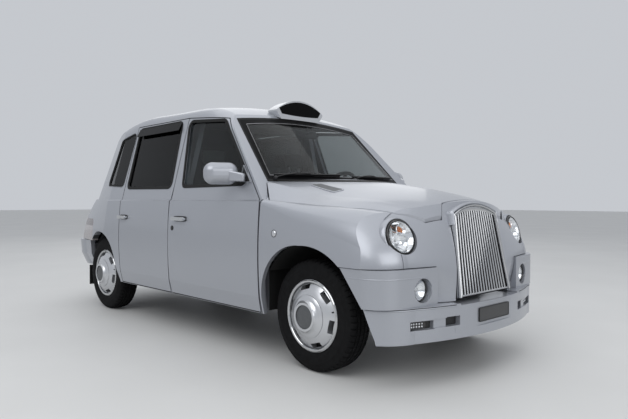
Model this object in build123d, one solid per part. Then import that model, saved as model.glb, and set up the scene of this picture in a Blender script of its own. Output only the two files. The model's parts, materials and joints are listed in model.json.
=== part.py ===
from build123d import *
import math
import os

# Taxi cab: tall bonneted cab on a separate chassis, with four side doors and a roof sign.
# Millimetres, +X forward, +Y to the cab's left, +Z up, origin on the ground at mid length.

# Running gear
WHEELBASE = 2886
FRONT_AXLE_X = 1512
REAR_AXLE_X = FRONT_AXLE_X - WHEELBASE
WHEEL_Y = 712
TYRE_RADIUS = 343
TYRE_HALF_WIDTH = 92
BEAD_RADIUS = 203
HUB_BORE = 30
HUB_FIT = 0.05
KINGPIN_Y = 650

# Body outline
BUMPER_NOSE_X = 2288
REAR_BUMPER_X = -2288
SILL_Z = 306
CREASE_Z = 415
SHOULDER_Z = 1036
BELT_Z = 1162
SILL_Y = 852
CREASE_Y = 876
SIDE_Y = 889
SHOULDER_Y = 872
LEDGE_Y = 856
BELT_Y = 826
TUMBLEHOME = 0.2535

# Walls and gaps
SIDE_WALL = 60
FRAME_WALL = 45
PANEL_WALL = 28
SHUT_GAP = 8
PANEL_GAP = 5
SEAT_GAP = 0.3
PLUG_DRAFT = 0.21
GLASS_DEPTH = 12
GLASS = 5
SCREEN_GLASS = 6

# Doors
FRONT_SEAM_X = 1100
MID_SEAM_X = -44
REAR_SEAM_X = -905
DOOR_TOP_Z = 1706

# Windscreen, measured at its foot and at its head: z, corner x, corner y, middle x, pillar x, pillar y
SCREEN_FOOT = (1170, 985, 706, 1105, 990, 820)
SCREEN_HEAD = (1655, 520, 629, 556, 525, 700)

# Front body sections: x, seam y, seam z, side y, side z, ridge y, ridge z, crown z
FRONT_SECTIONS = (
    (950, 846, 1050, 872, 1030, 706, 1168, 1207),
    (1140, 818, 1046, 872, 1012, 680, 1138, 1199),
    (1366, 765, 1026, 871, 950, 600, 1088, 1178),
    (1738, 700, 999, 868, 850, 540, 1052, 1124),
    (1974, 620, 972, 860, 780, 480, 1015, 1075),
    (2260, 520, 915, 840, 700, 400, 956, 1005),
)

# Cabin sections: x, wall top z, cant y, cant z, roof z
CABIN_SECTIONS = (
    (1150, 1300, 660, 1420, 1450),
    (480, 1600, 612, 1692, 1722),
    (136, 1665, 600, 1774, 1822),
    (-500, 1680, 592, 1788, 1834),
    (-965, 1675, 592, 1782, 1828),
    (-1300, 1610, 592, 1712, 1762),
    (-1700, 1450, 610, 1535, 1575),
    (-2150, 1250, 640, 1315, 1335),
)

# Nose outlines in plan: z, side end x, corner x, corner y, front x, front y, middle x
NOSE_OUTLINES = (
    (270, 1840, 2070, 815, 2134, 650, 2284),
    (670, 1840, 2060, 815, 2125, 650, 2208),
    (749, 1820, 2046, 808, 2112, 650, 2190),
    (838, 1780, 1995, 795, 2068, 640, 2168),
    (941, 1700, 1925, 765, 2012, 600, 2140),
    (1070, 1600, 1830, 730, 1920, 560, 2105),
    (1260, 1500, 1730, 705, 1840, 545, 2060),
)

# Tail outlines in plan, below and above the shoulder ledge:
# z, side y, bend x, quarter x, quarter y, corner x, corner y, middle x
LOWER_TAIL = (
    (270, 893, -1180, -1950, 745, -2150, 400, -2190),
    (776, 893, -1180, -1950, 760, -2140, 330, -2175),
    (1060, 876, -1120, -1687, 747, -1985, 291, -2003),
)
CABIN_TAIL = (
    (1040, 862, -1150, -1640, 757, -1925, 320, -1945),
    (1850, 656, -1130, -1465, 545, -1665, 240, -1680),
)


def step_end(step):
    return step[1] if isinstance(step[0], tuple) else step


def outline(steps, plane=Plane.XY):
    # A step is a corner (u, v), or an arc ((u, v) on the way, (u, v) at its end).
    place = lambda p: plane.from_local_coords((p[0], p[1], 0))
    edges = []
    here = steps[0]
    for step in steps[1:]:
        there = step_end(step)
        if isinstance(step[0], tuple):
            edges.append(ThreePointArc(place(here), place(step[0]), place(there)))
        else:
            edges.append(Line(place(here), place(there)))
        here = there
    if math.dist(here, steps[0]) > 0.001:
        edges.append(Line(place(here), place(steps[0])))
    return Face(Wire(edges))


def bulge(a, b, share):
    # Point beside the middle of a to b, share of its length to the right of that way.
    du, dv = b[0] - a[0], b[1] - a[1]
    return ((a[0] + b[0]) / 2 + dv * share, (a[1] + b[1]) / 2 - du * share)


def flip_u(p):
    return (-p[0], p[1])


def flip_v(p):
    return (p[0], -p[1])


def mirrored(half, middle, flip):
    # Half outline, an arc over the middle point, and the other half back to the start.
    steps = list(half)
    steps.append((middle, flip(step_end(half[-1]))))
    for k in range(len(half) - 1, 0, -1):
        back_to = flip(step_end(half[k - 1]))
        if isinstance(half[k][0], tuple):
            steps.append((flip(half[k][0]), back_to))
        else:
            steps.append(back_to)
    return steps


def across(x):
    # Plane across the cab at x, with u to the left and v up.
    return Plane(origin=(x, 0, 0), x_dir=(0, 1, 0), z_dir=(1, 0, 0))


def level(z):
    return Plane(origin=(0, 0, z), x_dir=(1, 0, 0), z_dir=(0, 0, 1))


def side_plane(y):
    # Plane along the cab at y, with u forward and v up.
    return Plane(origin=(0, y, 0), x_dir=(1, 0, 0), z_dir=(0, -1, 0))


def block(x0, x1, y0, y1, z0, z1):
    return Pos((x0 + x1) / 2, (y0 + y1) / 2, (z0 + z1) / 2) * Box(abs(x1 - x0), abs(y1 - y0), abs(z1 - z0))


def side_prism(steps, y0, y1):
    # Side view outline (x, z) carried from y0 to y1.
    return extrude(outline(steps, side_plane(y0)), amount=y1 - y0, dir=(0, 1, 0))


def front_prism(steps, x0, x1):
    return extrude(outline(steps, across(x0)), amount=x1 - x0, dir=(1, 0, 0))


def plan_prism(steps, z0, z1):
    return extrude(outline(steps, level(z0)), amount=z1 - z0, dir=(0, 0, 1))


def on_right(shape):
    return mirror(shape, about=Plane.XZ)


def rod(a, b, radius):
    axis = Vector(*b) - Vector(*a)
    return Plane(origin=a, z_dir=axis) * Cylinder(radius, axis.length, align=(Align.CENTER, Align.CENTER, Align.MIN))


def wall_y(z):
    return BELT_Y - (z - BELT_Z) * TUMBLEHOME


def skin_y(z):
    # Half width of the body's side at height z.
    if z > BELT_Z:
        return wall_y(z)
    if z > SHOULDER_Z:
        return SHOULDER_Y + (BELT_Y - SHOULDER_Y) * (z - SHOULDER_Z) / (BELT_Z - SHOULDER_Z)
    return SIDE_Y - 4


def screen_at(z, index):
    share = (z - SCREEN_FOOT[0]) / (SCREEN_HEAD[0] - SCREEN_FOOT[0])
    return SCREEN_FOOT[index] + share * (SCREEN_HEAD[index] - SCREEN_FOOT[index])


def screen_tool(inset):
    # All that lies ahead of the windscreen and the faces of its pillars.
    faces = []
    for z in (1000, 1900):
        corner_x, corner_y, middle_x = screen_at(z, 1), screen_at(z, 2), screen_at(z, 3)
        pillar_x, pillar_y = screen_at(z, 4), screen_at(z, 5)
        edge_x = corner_x + (pillar_x - corner_x) * (1000 - corner_y) / (pillar_y - corner_y)
        half = [(2500, 1000), (edge_x - inset, 1000), (corner_x - inset, corner_y)]
        steps = mirrored(half, (middle_x - inset, 0), flip_v)
        faces.append(outline(steps, level(z)))
    return loft(faces, ruled=True)


def tail_envelope(inset, rows):
    faces = []
    for z, side_y, bend_x, quarter_x, quarter_y, corner_x, corner_y, middle_x in rows:
        bend = (bend_x, side_y - inset)
        quarter = (quarter_x + inset * 0.4, quarter_y - inset * 0.9)
        corner = (corner_x + inset, corner_y - inset * 0.3)
        half = [(1600, 1000), (bend_x + 300, 1000), bend]
        half += [(bulge(bend, quarter, 0.012), quarter), (bulge(quarter, corner, 0.15), corner)]
        faces.append(outline(mirrored(half, (middle_x + inset, 0), flip_v), level(z)))
    return loft(faces)


def nose_envelope(inset):
    faces = []
    for z, side_x, corner_x, corner_y, front_x, front_y, middle_x in NOSE_OUTLINES:
        start = (800, 905 - inset)
        side = (side_x, 905 - inset)
        corner = (corner_x - inset * 0.7, corner_y - inset * 0.7)
        front = (front_x - inset, front_y - inset * 0.3)
        half = [start, side, (corner, front)]
        faces.append(outline(mirrored(half, (middle_x - inset, 0), flip_v), level(z)))
    return loft(faces)


def side_half(inset):
    sill = (SILL_Y - inset, SILL_Z - (60 if inset else 0))
    crease = (CREASE_Y - inset, CREASE_Z)
    shoulder = (SHOULDER_Y - inset, SHOULDER_Z)
    return [sill, crease, ((SIDE_Y - inset, (CREASE_Z + SHOULDER_Z) / 2), shoulder)]


def lower_body(inset):
    # Door and quarter sides below the shoulder ledge.
    top = SHOULDER_Z + 12 + (0 if inset == 0 else 30)
    half = side_half(inset) + [(LEDGE_Y - inset, SHOULDER_Z + 12), (LEDGE_Y - inset - 1, top + 1)]
    steps = mirrored(half, (0, top + 2), flip_u)
    return front_prism(steps, -2400, FRONT_SEAM_X)


def cabin_body(inset):
    faces = []
    for x, wall_top_z, cant_y, cant_z, roof_z in CABIN_SECTIONS:
        foot = (LEDGE_Y - inset, SHOULDER_Z + 12 - (40 if inset else 0))
        belt = (BELT_Y - inset, BELT_Z)
        wall_top = (wall_y(wall_top_z) - inset, wall_top_z)
        cant = (cant_y - inset * 0.5, cant_z - inset)
        half = [foot, belt, wall_top, (bulge(wall_top, cant, 0.13), cant)]
        faces.append(outline(mirrored(half, (0, roof_z - inset), flip_u), across(x)))
    return loft(faces)


LEFT_HALF = block(-3000, 3000, 0, 1500, -100, 2500)


def both_halves(half):
    return half.fuse(on_right(half))


def main_body(side_inset, cabin_inset):
    cabin = cabin_body(cabin_inset) - screen_tool(cabin_inset)
    lower = lower_body(side_inset) & tail_envelope(side_inset, LOWER_TAIL) & LEFT_HALF
    return lower + (cabin & tail_envelope(cabin_inset, CABIN_TAIL) & LEFT_HALF)


def front_body(inset):
    faces = []
    for x, seam_y, seam_z, side_y, side_z, ridge_y, ridge_z, crown_z in FRONT_SECTIONS:
        sill = (SILL_Y - inset, SILL_Z - (60 if inset else 0))
        crease = (CREASE_Y - inset, CREASE_Z)
        side = (side_y - inset, side_z)
        seam = (seam_y - inset * 0.6, seam_z - inset * 0.8)
        ridge = (ridge_y - inset * 0.2, ridge_z - inset)
        middle = (SIDE_Y - inset, (CREASE_Z + side_z) / 2)
        half = [sill, crease, (middle, side), (bulge(side, seam, 0.2), seam), (bulge(seam, ridge, 0.03), ridge)]
        faces.append(outline(mirrored(half, (0, crown_z - inset), flip_u), across(x)))
    return loft(faces) & nose_envelope(inset)


def shut_prism(corners, y_out, y_in, grow):
    # Tapered prism of a door's shut faces; corners are (x, z) on the skin, in order round the door.
    count = len(corners)
    mid_x = sum(c[0] for c in corners) / count
    mid_z = sum(c[1] for c in corners) / count
    faces = []
    for y in (y_out, y_in):
        moved = []
        for k in range(count):
            before, here, after = corners[k - 1], corners[k], corners[(k + 1) % count]
            shift = grow - PLUG_DRAFT * (skin_y(here[1]) - y)
            lines = []
            for a, b in ((before, here), (here, after)):
                length = math.hypot(b[0] - a[0], b[1] - a[1])
                nx, nz = (b[1] - a[1]) / length, (a[0] - b[0]) / length
                if nx * (mid_x - a[0]) + nz * (mid_z - a[1]) > 0:
                    nx, nz = -nx, -nz
                lines.append((nx, nz, nx * a[0] + nz * a[1] + shift))
            (a1, b1, c1), (a2, b2, c2) = lines
            det = a1 * b2 - a2 * b1
            if abs(det) < 0.001:
                moved.append((here[0] + a1 * shift, here[1] + b1 * shift))
            else:
                moved.append(((c1 * b2 - c2 * b1) / det, (a1 * c2 - a2 * c1) / det))
        faces.append(outline(moved, side_plane(y)))
    return loft(faces, ruled=True)


def wall_slab(depth, thickness, x0, x1, z0=1100, z1=1760):
    # Flat slab behind the tumblehome plane of the left side, from depth to depth + thickness.
    steps = [(wall_y(z0) - depth, z0), (wall_y(z1) - depth, z1)]
    steps += [(wall_y(z1) - depth - thickness, z1), (wall_y(z0) - depth - thickness, z0)]
    return front_prism(steps, x0, x1)


def rounded_prism(corners, radius, y0, y1):
    prism = side_prism(corners, y0, y1)
    return fillet(prism.edges().filter_by(Axis.Y), radius)


FRONT_DOOR = (
    (FRONT_SEAM_X, SILL_Z),
    (FRONT_SEAM_X, SHOULDER_Z),
    (500, 1658),
    (MID_SEAM_X, DOOR_TOP_Z),
    (MID_SEAM_X, BELT_Z),
    (MID_SEAM_X, SHOULDER_Z),
    (MID_SEAM_X, SILL_Z),
)
REAR_DOOR = (
    (MID_SEAM_X, SILL_Z),
    (MID_SEAM_X, SHOULDER_Z),
    (MID_SEAM_X, BELT_Z),
    (MID_SEAM_X, DOOR_TOP_Z),
    (REAR_SEAM_X, DOOR_TOP_Z),
    (REAR_SEAM_X, BELT_Z),
    (REAR_SEAM_X, SHOULDER_Z),
    (REAR_SEAM_X, SILL_Z),
)
FRONT_DOOR_WINDOW = ((88, 1154), (938, 1160), (480, 1632), (-18, 1670))
REAR_DOOR_WINDOW = ((-850, 1156), (-98, 1150), (-138, 1676), (-855, 1674))
QUARTER_WINDOW = ((-1335, 1176), (-945, 1160), (-915, 1664), (-1225, 1600))

# Arch edges in side view, cut through the side panels
FRONT_ARCH = ((1126, 150), (1126, 404), ((1215, 655), (1490, 772)), ((1690, 745), (1830, 664)))
FRONT_ARCH += ((1985, 460), (2045, 290), (2075, 150))
REAR_ARCH = ((-925, 150), (-945, 324), (-1020, 526), ((-1150, 690), (-1345, 742)))
REAR_ARCH += (((-1560, 690), (-1690, 520)), (-1730, 390), (-1745, 150))

# Bonnet edge in plan, left half: the curved foot of the windscreen, then forward along the seam
BONNET_REAR = (985, 716)
BONNET_REAR_MIDDLE = 1122
BONNET_SEAM = ((1140, 819), (1366, 766), (1738, 700), (1985, 606), (2078, 430), (2103, 300), (2076, 262))
NOSE_GAP = 9
BONNET_LIP = 10
NOSE_SEAM_X = 1985
NOSE_SEAM_Y = 684

# Grille shell: z, half width and front x, at its head and at its foot, and the crest of its head
GRILLE_HEAD = (975, 246, 2150)
GRILLE_FOOT = (470, 298, 2233)
GRILLE_CREST_Z = 1029
GRILLE_DEPTH = 52
GRILLE_RIM = 34
GRILLE_BARS = 17
GRILLE_BAR_WIDTH = 9

HEADLAMP = (2061, 638, 838)
HEADLAMP_RADIUS = 104
HEADLAMP_LEAN = 17
HEADLAMP_TURN = 8
FOG_LAMP_RADIUS = 67.7
RAIL_Y = 320
RAIL_WIDTH = 55
BUMPER_TOP_Z = 668
SILL_BEAM_Y = 782
FLOOR_Z = 400
FLOOR_DEEP_Z = 385
BOOT_TOP_Z = 1128
BOOT_FOOT_Z = 692
BOOT_HALF = 560
REAR_WINDOW_FOOT_Z = 1205
REAR_WINDOW_HEAD_Z = 1600
SIGN_TOP_Z = 1853
SCREEN_EDGE_Z = 1176
DOOR_STOP_Z = 725
KINGPIN_RADIUS = 12
BUMPER_STEP_Z = 458
REAR_BUMPER_TOP_Z = 640
REAR_BUMPER_FOOT_Z = 385
TAIL_LAMP_X = -1600
TAIL_LAMP_TOP_Z = 858
LENS_RISE = 20


def grille_edge(z, index, inset=0):
    share = (z - GRILLE_HEAD[0]) / (GRILLE_FOOT[0] - GRILLE_HEAD[0])
    return GRILLE_HEAD[index] + share * (GRILLE_FOOT[index] - GRILLE_HEAD[index]) - inset


def grille_outline(inset):
    # Front view of the grille shell: straight sides that spread downwards, and a domed head.
    foot_z, head_z = GRILLE_FOOT[0] + inset, GRILLE_HEAD[0] - inset * 0.4
    foot_y, head_y = grille_edge(foot_z, 1, inset), grille_edge(head_z, 1, inset)
    return [(-foot_y, foot_z), (foot_y, foot_z), (head_y, head_z), ((0, GRILLE_CREST_Z - inset * 1.5), (-head_y, head_z))]


def grille_slab(front, back):
    # Leaning slab between depths behind the grille's face.
    lean = []
    for z in (350, 1120):
        lean.append(grille_edge(z, 2))
    steps = [(lean[0] - front, 350), (lean[1] - front, 1120), (lean[1] - back, 1120), (lean[0] - back, 350)]
    return side_prism(steps, -400, 400)


def grille():
    depth_x = (1950, 2400)
    shell = front_prism(grille_outline(SEAT_GAP), *depth_x) - front_prism(grille_outline(GRILLE_RIM), *depth_x)
    shell = shell & grille_slab(0, GRILLE_DEPTH)
    foot_z, head_z = GRILLE_FOOT[0] + GRILLE_RIM - 6, GRILLE_CREST_Z - GRILLE_RIM
    bars = []
    for k in range(GRILLE_BARS):
        place = (k + 1) / (GRILLE_BARS + 1) * 2 - 1
        steps = []
        for z, side in ((foot_z, -1), (head_z, -1), (head_z, 1), (foot_z, 1)):
            steps.append((grille_edge(z, 1, GRILLE_RIM) * place + side * GRILLE_BAR_WIDTH / 2, z))
        bars.append(front_prism(steps, *depth_x))
    bars = Compound(bars) & grille_slab(8, 34) & front_prism(grille_outline(GRILLE_RIM - 3), *depth_x)
    return shell.fuse(*bars.solids())


def lamp_place(side):
    x, y, z = HEADLAMP
    return Pos(x, y * side, z) * Rot(0, 0, HEADLAMP_TURN * side) * Rot(0, 90 - HEADLAMP_LEAN, 0)


def lamp_bowl(side, grow, back, front):
    # Cylinder along the lamp's own axis, from back to front of its rim plane.
    return lamp_place(side) * Pos(0, 0, (front + back) / 2) * Cylinder(HEADLAMP_RADIUS + grow, front - back)


def headlamp(side):
    # Bowl with a flat rim and a lens that is part of a sphere.
    edge = HEADLAMP_RADIUS - 12
    sphere = (edge ** 2 + LENS_RISE ** 2) / (2 * LENS_RISE)
    half_angle = math.asin(edge / sphere) / 2
    on_lens = (sphere * math.sin(half_angle), 10 + LENS_RISE - sphere * (1 - math.cos(half_angle)))
    half = [(0, -90), (70, -90), (HEADLAMP_RADIUS, -20), (HEADLAMP_RADIUS, 6), (HEADLAMP_RADIUS - 5, 12)]
    half += [(edge, 10), (on_lens, (0, 10 + LENS_RISE))]
    return lamp_place(side) * revolve(outline(half, Plane.XZ), Axis.Z)


def bonnet_prism(grow):
    # Plan of the bonnet, grown across its edge.
    x, y = BONNET_REAR
    half = [(x - grow, y + grow)]
    for seam_x, seam_y in BONNET_SEAM:
        half.append((seam_x + (grow if seam_x > 2000 else 0) - (grow if seam_x < 1200 else 0), seam_y + grow))
    steps = half + [(BONNET_SEAM[-1][0] + grow, -BONNET_SEAM[-1][1] - grow)]
    steps += [flip_v(p) for p in reversed(half[:-1])]
    steps.append(((BONNET_REAR_MIDDLE - grow, 0), half[0]))
    return plan_prism(steps, 700, 1400)


def bumper_outline(inset, corner_block):
    if corner_block:
        half = [(1700, 884 - inset), (1960, 876 - inset), ((2075, 838 - inset), (2140 - inset, 730))]
        return mirrored(half, (2212 - inset, 0), flip_v)
    half = [(1700, 884 - inset), (1930, 876 - inset), ((2075, 812 - inset), (2170 - inset, 640))]
    return mirrored(half, (BUMPER_NOSE_X - inset, 0), flip_v)


def front_bumper():
    wall = 42
    low = plan_prism(bumper_outline(0, False), 262, BUMPER_STEP_Z) - plan_prism(bumper_outline(wall, False), 200, 425)
    high = plan_prism(bumper_outline(0, True), BUMPER_STEP_Z - 1, BUMPER_TOP_Z)
    high -= plan_prism(bumper_outline(wall, True), 400, BUMPER_TOP_Z - 14)
    high -= block(1600, 2400, -452, 452, 400, 700)
    bar = low + high - block(1600, 2400, -330, 330, BUMPER_STEP_Z - 33, 700)
    bar += plan_prism(bumper_outline(0, False), BUMPER_STEP_Z - 33, BUMPER_STEP_Z - 8) & block(2060, 2400, -331, 331, 300, 600)
    for side in (-1, 1):
        bar -= side_prism(FRONT_ARCH, side * 385, side * 1000)
        bar -= rod((1990, 566 * side, 545), (2400, 566 * side, 545), FOG_LAMP_RADIUS + SEAT_GAP)
        for y0, y1, low, high in ((336, 436, 338, 392), (520, 676, 334, 384)):
            slot = block(2000, 2400, y0 * side, y1 * side, low, high)
            bar -= slot - plan_prism(bumper_outline(30, False), 300, 420)
        channel = block(2000, 2400, 430 * side, 525 * side, 338, 388)
        bar -= channel - plan_prism(bumper_outline(8, False), 300, 420)
        bar += block(2060 + SEAT_GAP, 2250, RAIL_Y * side, (RAIL_Y + RAIL_WIDTH) * side, 296, 330)
    bar -= block(2276, 2400, -289, 289, 313, 443)
    return bar


def rear_bumper_outline(inset):
    half = [(-1700, 812 - inset), (-1850, 798 - inset)]
    half.append(((-2110 + inset * 0.7, 732 - inset * 0.6), (-2238 + inset, 480)))
    return mirrored(half, (REAR_BUMPER_X + inset, 0), flip_v)


def rear_bumper():
    outer, inner = [], []
    for z, inset in ((REAR_BUMPER_FOOT_Z, 70), (500, 12), (REAR_BUMPER_TOP_Z, 0)):
        outer.append(outline(rear_bumper_outline(inset), level(z)))
        inner.append(outline(rear_bumper_outline(inset + 40), level(z)))
    bar = loft(outer, ruled=True) - loft(inner, ruled=True)
    for side in (-1, 1):
        bar -= side_prism(REAR_ARCH, side * 560, side * 1000)
        bar += block(-2120 - SEAT_GAP, -2225, RAIL_Y * side, (RAIL_Y + RAIL_WIDTH) * side, 420, 465)
    return bar


def fog_lamp(side):
    return rod((2105, 566 * side, 545), (2150, 566 * side, 545), FOG_LAMP_RADIUS)


def arch_cut(steps, side=1):
    return side_prism(steps, side * 560, side * 1000)


def nose_opening():
    # Left half of the hole for the grille, open at its foot above the bumper.
    foot_y, head_y = grille_edge(BUMPER_STEP_Z - 3, 1), grille_edge(GRILLE_HEAD[0], 1)
    rise = GRILLE_CREST_Z - GRILLE_HEAD[0]
    head = ((head_y / 2, GRILLE_HEAD[0] + rise * 0.76), (0, GRILLE_CREST_Z))
    return front_prism([(0, BUMPER_STEP_Z - 3), (foot_y, BUMPER_STEP_Z - 3), (head_y, GRILLE_HEAD[0]), head], 1990, 2400)


def wing_half(front_half):
    low_front = block(1820, 2400, -10, 1000, 0, BUMPER_TOP_Z + 4)
    nose_box = block(NOSE_SEAM_X - 4, 2400, -10, NOSE_SEAM_Y + 4, 100, 1300)
    cuts = [bonnet_prism(PANEL_GAP), low_front, nose_box, lamp_bowl(1, SEAT_GAP, -400, 200), arch_cut(FRONT_ARCH)]
    return biggest(front_half.cut(*cuts))


def nose_half():
    box = block(NOSE_SEAM_X, 2400, 0, NOSE_SEAM_Y, BUMPER_STEP_Z + 4, 1300)
    hole = nose_opening()
    panel = ((front_body(0) & box) - hole) - ((front_body(PANEL_WALL) & box) - hole)
    panel = panel - bonnet_prism(NOSE_GAP) - lamp_bowl(1, SEAT_GAP, -400, 200)
    return biggest(panel - block(1900, 2400, 446, 1000, 0, BUMPER_TOP_Z + 4))


def biggest(shape):
    return max(shape.solids(), key=lambda s: s.volume)


def doors(shell):
    # Door panels of the left side with their window frames, and their panes.
    made = {}
    for name, corners, window, x0, x1 in (
        ("door_front", FRONT_DOOR, FRONT_DOOR_WINDOW, -100, 1150),
        ("door_rear", REAR_DOOR, REAR_DOOR_WINDOW, -950, 0),
    ):
        panel = biggest(shell & shut_prism(corners, 960, 520, -SHUT_GAP / 2))
        cut = rounded_prism(window, 40, 500, 1000)
        groove = rounded_prism(grown(window, 9 + SEAT_GAP), 45, 500, 1000)
        pane = rounded_prism(grown(window, 9), 45, 500, 1000)
        panel = panel - cut - (groove & wall_slab(GLASS_DEPTH - SEAT_GAP, GLASS + 2 * SEAT_GAP, x0, x1))
        made[name] = panel
        made["glass_" + name] = pane & wall_slab(GLASS_DEPTH, GLASS, x0, x1)
    return made


def grown(corners, amount):
    mid_x = sum(c[0] for c in corners) / len(corners)
    mid_z = sum(c[1] for c in corners) / len(corners)
    return [(x + amount * math.copysign(1, x - mid_x), z + amount * math.copysign(1, z - mid_z)) for x, z in corners]


def post(x0, x1, depth, thickness):
    # Inner door post of the left side, sill to cant rail, behind the shut faces.
    low_y = SILL_Y - depth
    steps = [(low_y, 320), (low_y, SHOULDER_Z), (BELT_Y - depth, BELT_Z), (wall_y(1740) - depth, 1740)]
    steps += [(wall_y(1740) - depth - thickness, 1740), (BELT_Y - depth - thickness, BELT_Z)]
    steps += [(low_y - thickness, SHOULDER_Z), (low_y - thickness, 320)]
    return front_prism(steps, x0, x1)


def body_half(outer, shell):
    cuts = [block(FRONT_SEAM_X + 10, 2400, -10, 1200, 0, 2000)]
    low_inside = block(-3000, 3000, -10, SILL_BEAM_Y + 0.5, 0, 1100)
    for corners in (FRONT_DOOR, REAR_DOOR):
        cuts.append(shut_prism(corners, 960, 600, SHUT_GAP / 2) - low_inside)
    cuts += [arch_cut(REAR_ARCH), rounded_prism(QUARTER_WINDOW, 45, 500, 1000)]
    cuts += [windscreen_prism(24), windscreen_prism(-SEAT_GAP) & screen_tool(SCREEN_GLASS + SEAT_GAP)]
    cuts += [rear_window_prism(20), rear_window_rebate(), boot_prism(0), tail_lamp_box(SEAT_GAP)]
    cuts.append(block(-3000, -1600, -10, 1200, 0, REAR_BUMPER_TOP_Z + PANEL_GAP))
    cuts.append(bonnet_prism(PANEL_GAP))
    panel = shell.cut(*cuts)
    frame = post(MID_SEAM_X - 55, MID_SEAM_X + 55, FRAME_WALL + 40, 45)
    sill = block(REAR_SEAM_X - 60, FRONT_SEAM_X + 8, SILL_BEAM_Y - 90, SILL_BEAM_Y, 318, FLOOR_Z)
    hinge_post = block(FRONT_SEAM_X - 80, FRONT_SEAM_X + 8, SILL_BEAM_Y - 60, SILL_BEAM_Y, 318, 1000)
    cowl = block(FRONT_SEAM_X - 60, FRONT_SEAM_X + 8, 0, 770, FLOOR_Z, 1000)
    cowl += block(FRONT_SEAM_X - 60, FRONT_SEAM_X + 8, 0, 640, 990, 1108)
    cowl -= block(0, FRONT_SEAM_X - 4, 0, 708, 0, 980)
    stops = []
    for x in (FRONT_SEAM_X - 80, MID_SEAM_X + 22, MID_SEAM_X - 72):
        stops.append(block(x - 14, x + 20, 760, SIDE_Y - SIDE_WALL - 0.7, DOOR_STOP_Z - 13, DOOR_STOP_Z + 13))
    tail = block(-2170, -2110, 0, 590, 576, BOOT_FOOT_Z - 6)
    inside = outer & (frame.fuse(sill, hinge_post, cowl, tail, *stops))
    return biggest(panel.fuse(inside))


def windscreen_prism(inset):
    foot_z, head_z = SCREEN_EDGE_Z + inset, 1650 - inset
    foot_y, head_y = screen_at(foot_z, 2) - inset, screen_at(head_z, 2) - inset
    steps = [(-foot_y, foot_z), (foot_y, foot_z), (head_y, head_z), ((0, 1692 - inset), (-head_y, head_z))]
    return front_prism(steps, 200, 1500)


def rear_window_prism(inset):
    foot_z, head_z = REAR_WINDOW_FOOT_Z + inset, REAR_WINDOW_HEAD_Z - inset
    steps = [(-600 + inset, foot_z), (600 - inset, foot_z), (500 - inset, head_z), (-500 + inset, head_z)]
    prism = front_prism(steps, -2300, -1450)
    return fillet(prism.edges().filter_by(Axis.X), 60)


def rear_window_rebate():
    behind = rear_window_prism(-SEAT_GAP) - tail_envelope(SCREEN_GLASS + SEAT_GAP, CABIN_TAIL)
    return behind


def boot_prism(inset):
    half = BOOT_HALF - inset
    prism = block(-2500, -1860 - inset, -half, half, BOOT_FOOT_Z + inset, BOOT_TOP_Z - inset)
    return fillet(prism.edges().filter_by(Axis.X), 50)


def tyre():
    half = [(BEAD_RADIUS, -66), (BEAD_RADIUS, 66), ((262, TYRE_HALF_WIDTH), (316, 84)), ((336, 76), (TYRE_RADIUS, 56))]
    half += [(TYRE_RADIUS, -56), ((336, -76), (316, -84)), ((262, -TYRE_HALF_WIDTH), (BEAD_RADIUS, -66))]
    return revolve(outline(half, Plane.XY), Axis.Y)


def wheel():
    # Steel rim, disc and deep domed cover, outboard side towards +Y.
    rim = BEAD_RADIUS - SEAT_GAP
    half = [(HUB_BORE + HUB_FIT, -10), (60, -10), (60, 20), (150, 30), (186, 24), (186, -66), (rim, -66), (rim, 73)]
    half += [(220, 79), (220, 85), (206, 89), (198, 76), ((168, 97), (131, 114)), (130, 118), ((118, 125), (104, 130))]
    half += [((94, 138), (86, 150)), (72, 150), (72, 142), (0, 142), (0, 60), (HUB_BORE + HUB_FIT, 60)]
    body = revolve(outline(half, Plane.XY), Axis.Y)
    for k in range(6):
        body -= Rot(0, 60 * k - 16, 0) * block(-41, 41, 40, 130, 163, 190)
    return body


def at_wheel(shape, x, side):
    turned = shape if side > 0 else on_right(shape)
    return Pos(x, WHEEL_Y * side, TYRE_RADIUS) * turned


def knuckle():
    # Left knuckle: upright between its two ball joints, stub axle and steering arm.
    x, z = FRONT_AXLE_X, TYRE_RADIUS
    upright = block(x - 32, x + 32, 618, 668, z - 100, z + 115)
    stub = rod((x, 660, z), (x, WHEEL_Y + 58, z), HUB_BORE)
    arm = block(x - 150, x - 20, 622, 648, z - 62, z - 38)
    disc = rod((x, 669, z), (x, 690, z), 140)
    bores = rod((x, KINGPIN_Y, z - 101), (x, KINGPIN_Y, z - 70), KINGPIN_RADIUS + HUB_FIT)
    bores += rod((x, KINGPIN_Y, z + 116), (x, KINGPIN_Y, z + 85), KINGPIN_RADIUS + HUB_FIT)
    return upright + stub + arm + disc - bores


def floor_pan():
    half = SILL_BEAM_Y - 90 - SEAT_GAP
    flat = block(-1000, FRONT_SEAM_X - 62, -half, half, FLOOR_DEEP_Z, FLOOR_Z)
    raised = block(-2120, -1000, -560, 560, 560, 575) + block(-1015, -1000, -690, 690, FLOOR_DEEP_Z, 575)
    arches = None
    for side in (-1, 1):
        outer = rod((REAR_AXLE_X, 560 * side, TYRE_RADIUS), (REAR_AXLE_X, 752 * side, TYRE_RADIUS), 398)
        hollow = rod((REAR_AXLE_X, 572 * side, TYRE_RADIUS), (REAR_AXLE_X, 900 * side, TYRE_RADIUS), 388)
        arch = outer - hollow - block(-2400, 0, -1000, 1000, -100, TYRE_RADIUS)
        arch -= block(REAR_AXLE_X - 60, REAR_AXLE_X + 60, 550 * side, 600 * side, 300, TYRE_RADIUS + 100)
        arch -= block(-1800, -1690, 690 * side, 800 * side, 300, REAR_BUMPER_TOP_Z + 8)
        arches = arch if arches is None else arches + arch
    return flat + raised + arches


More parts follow.
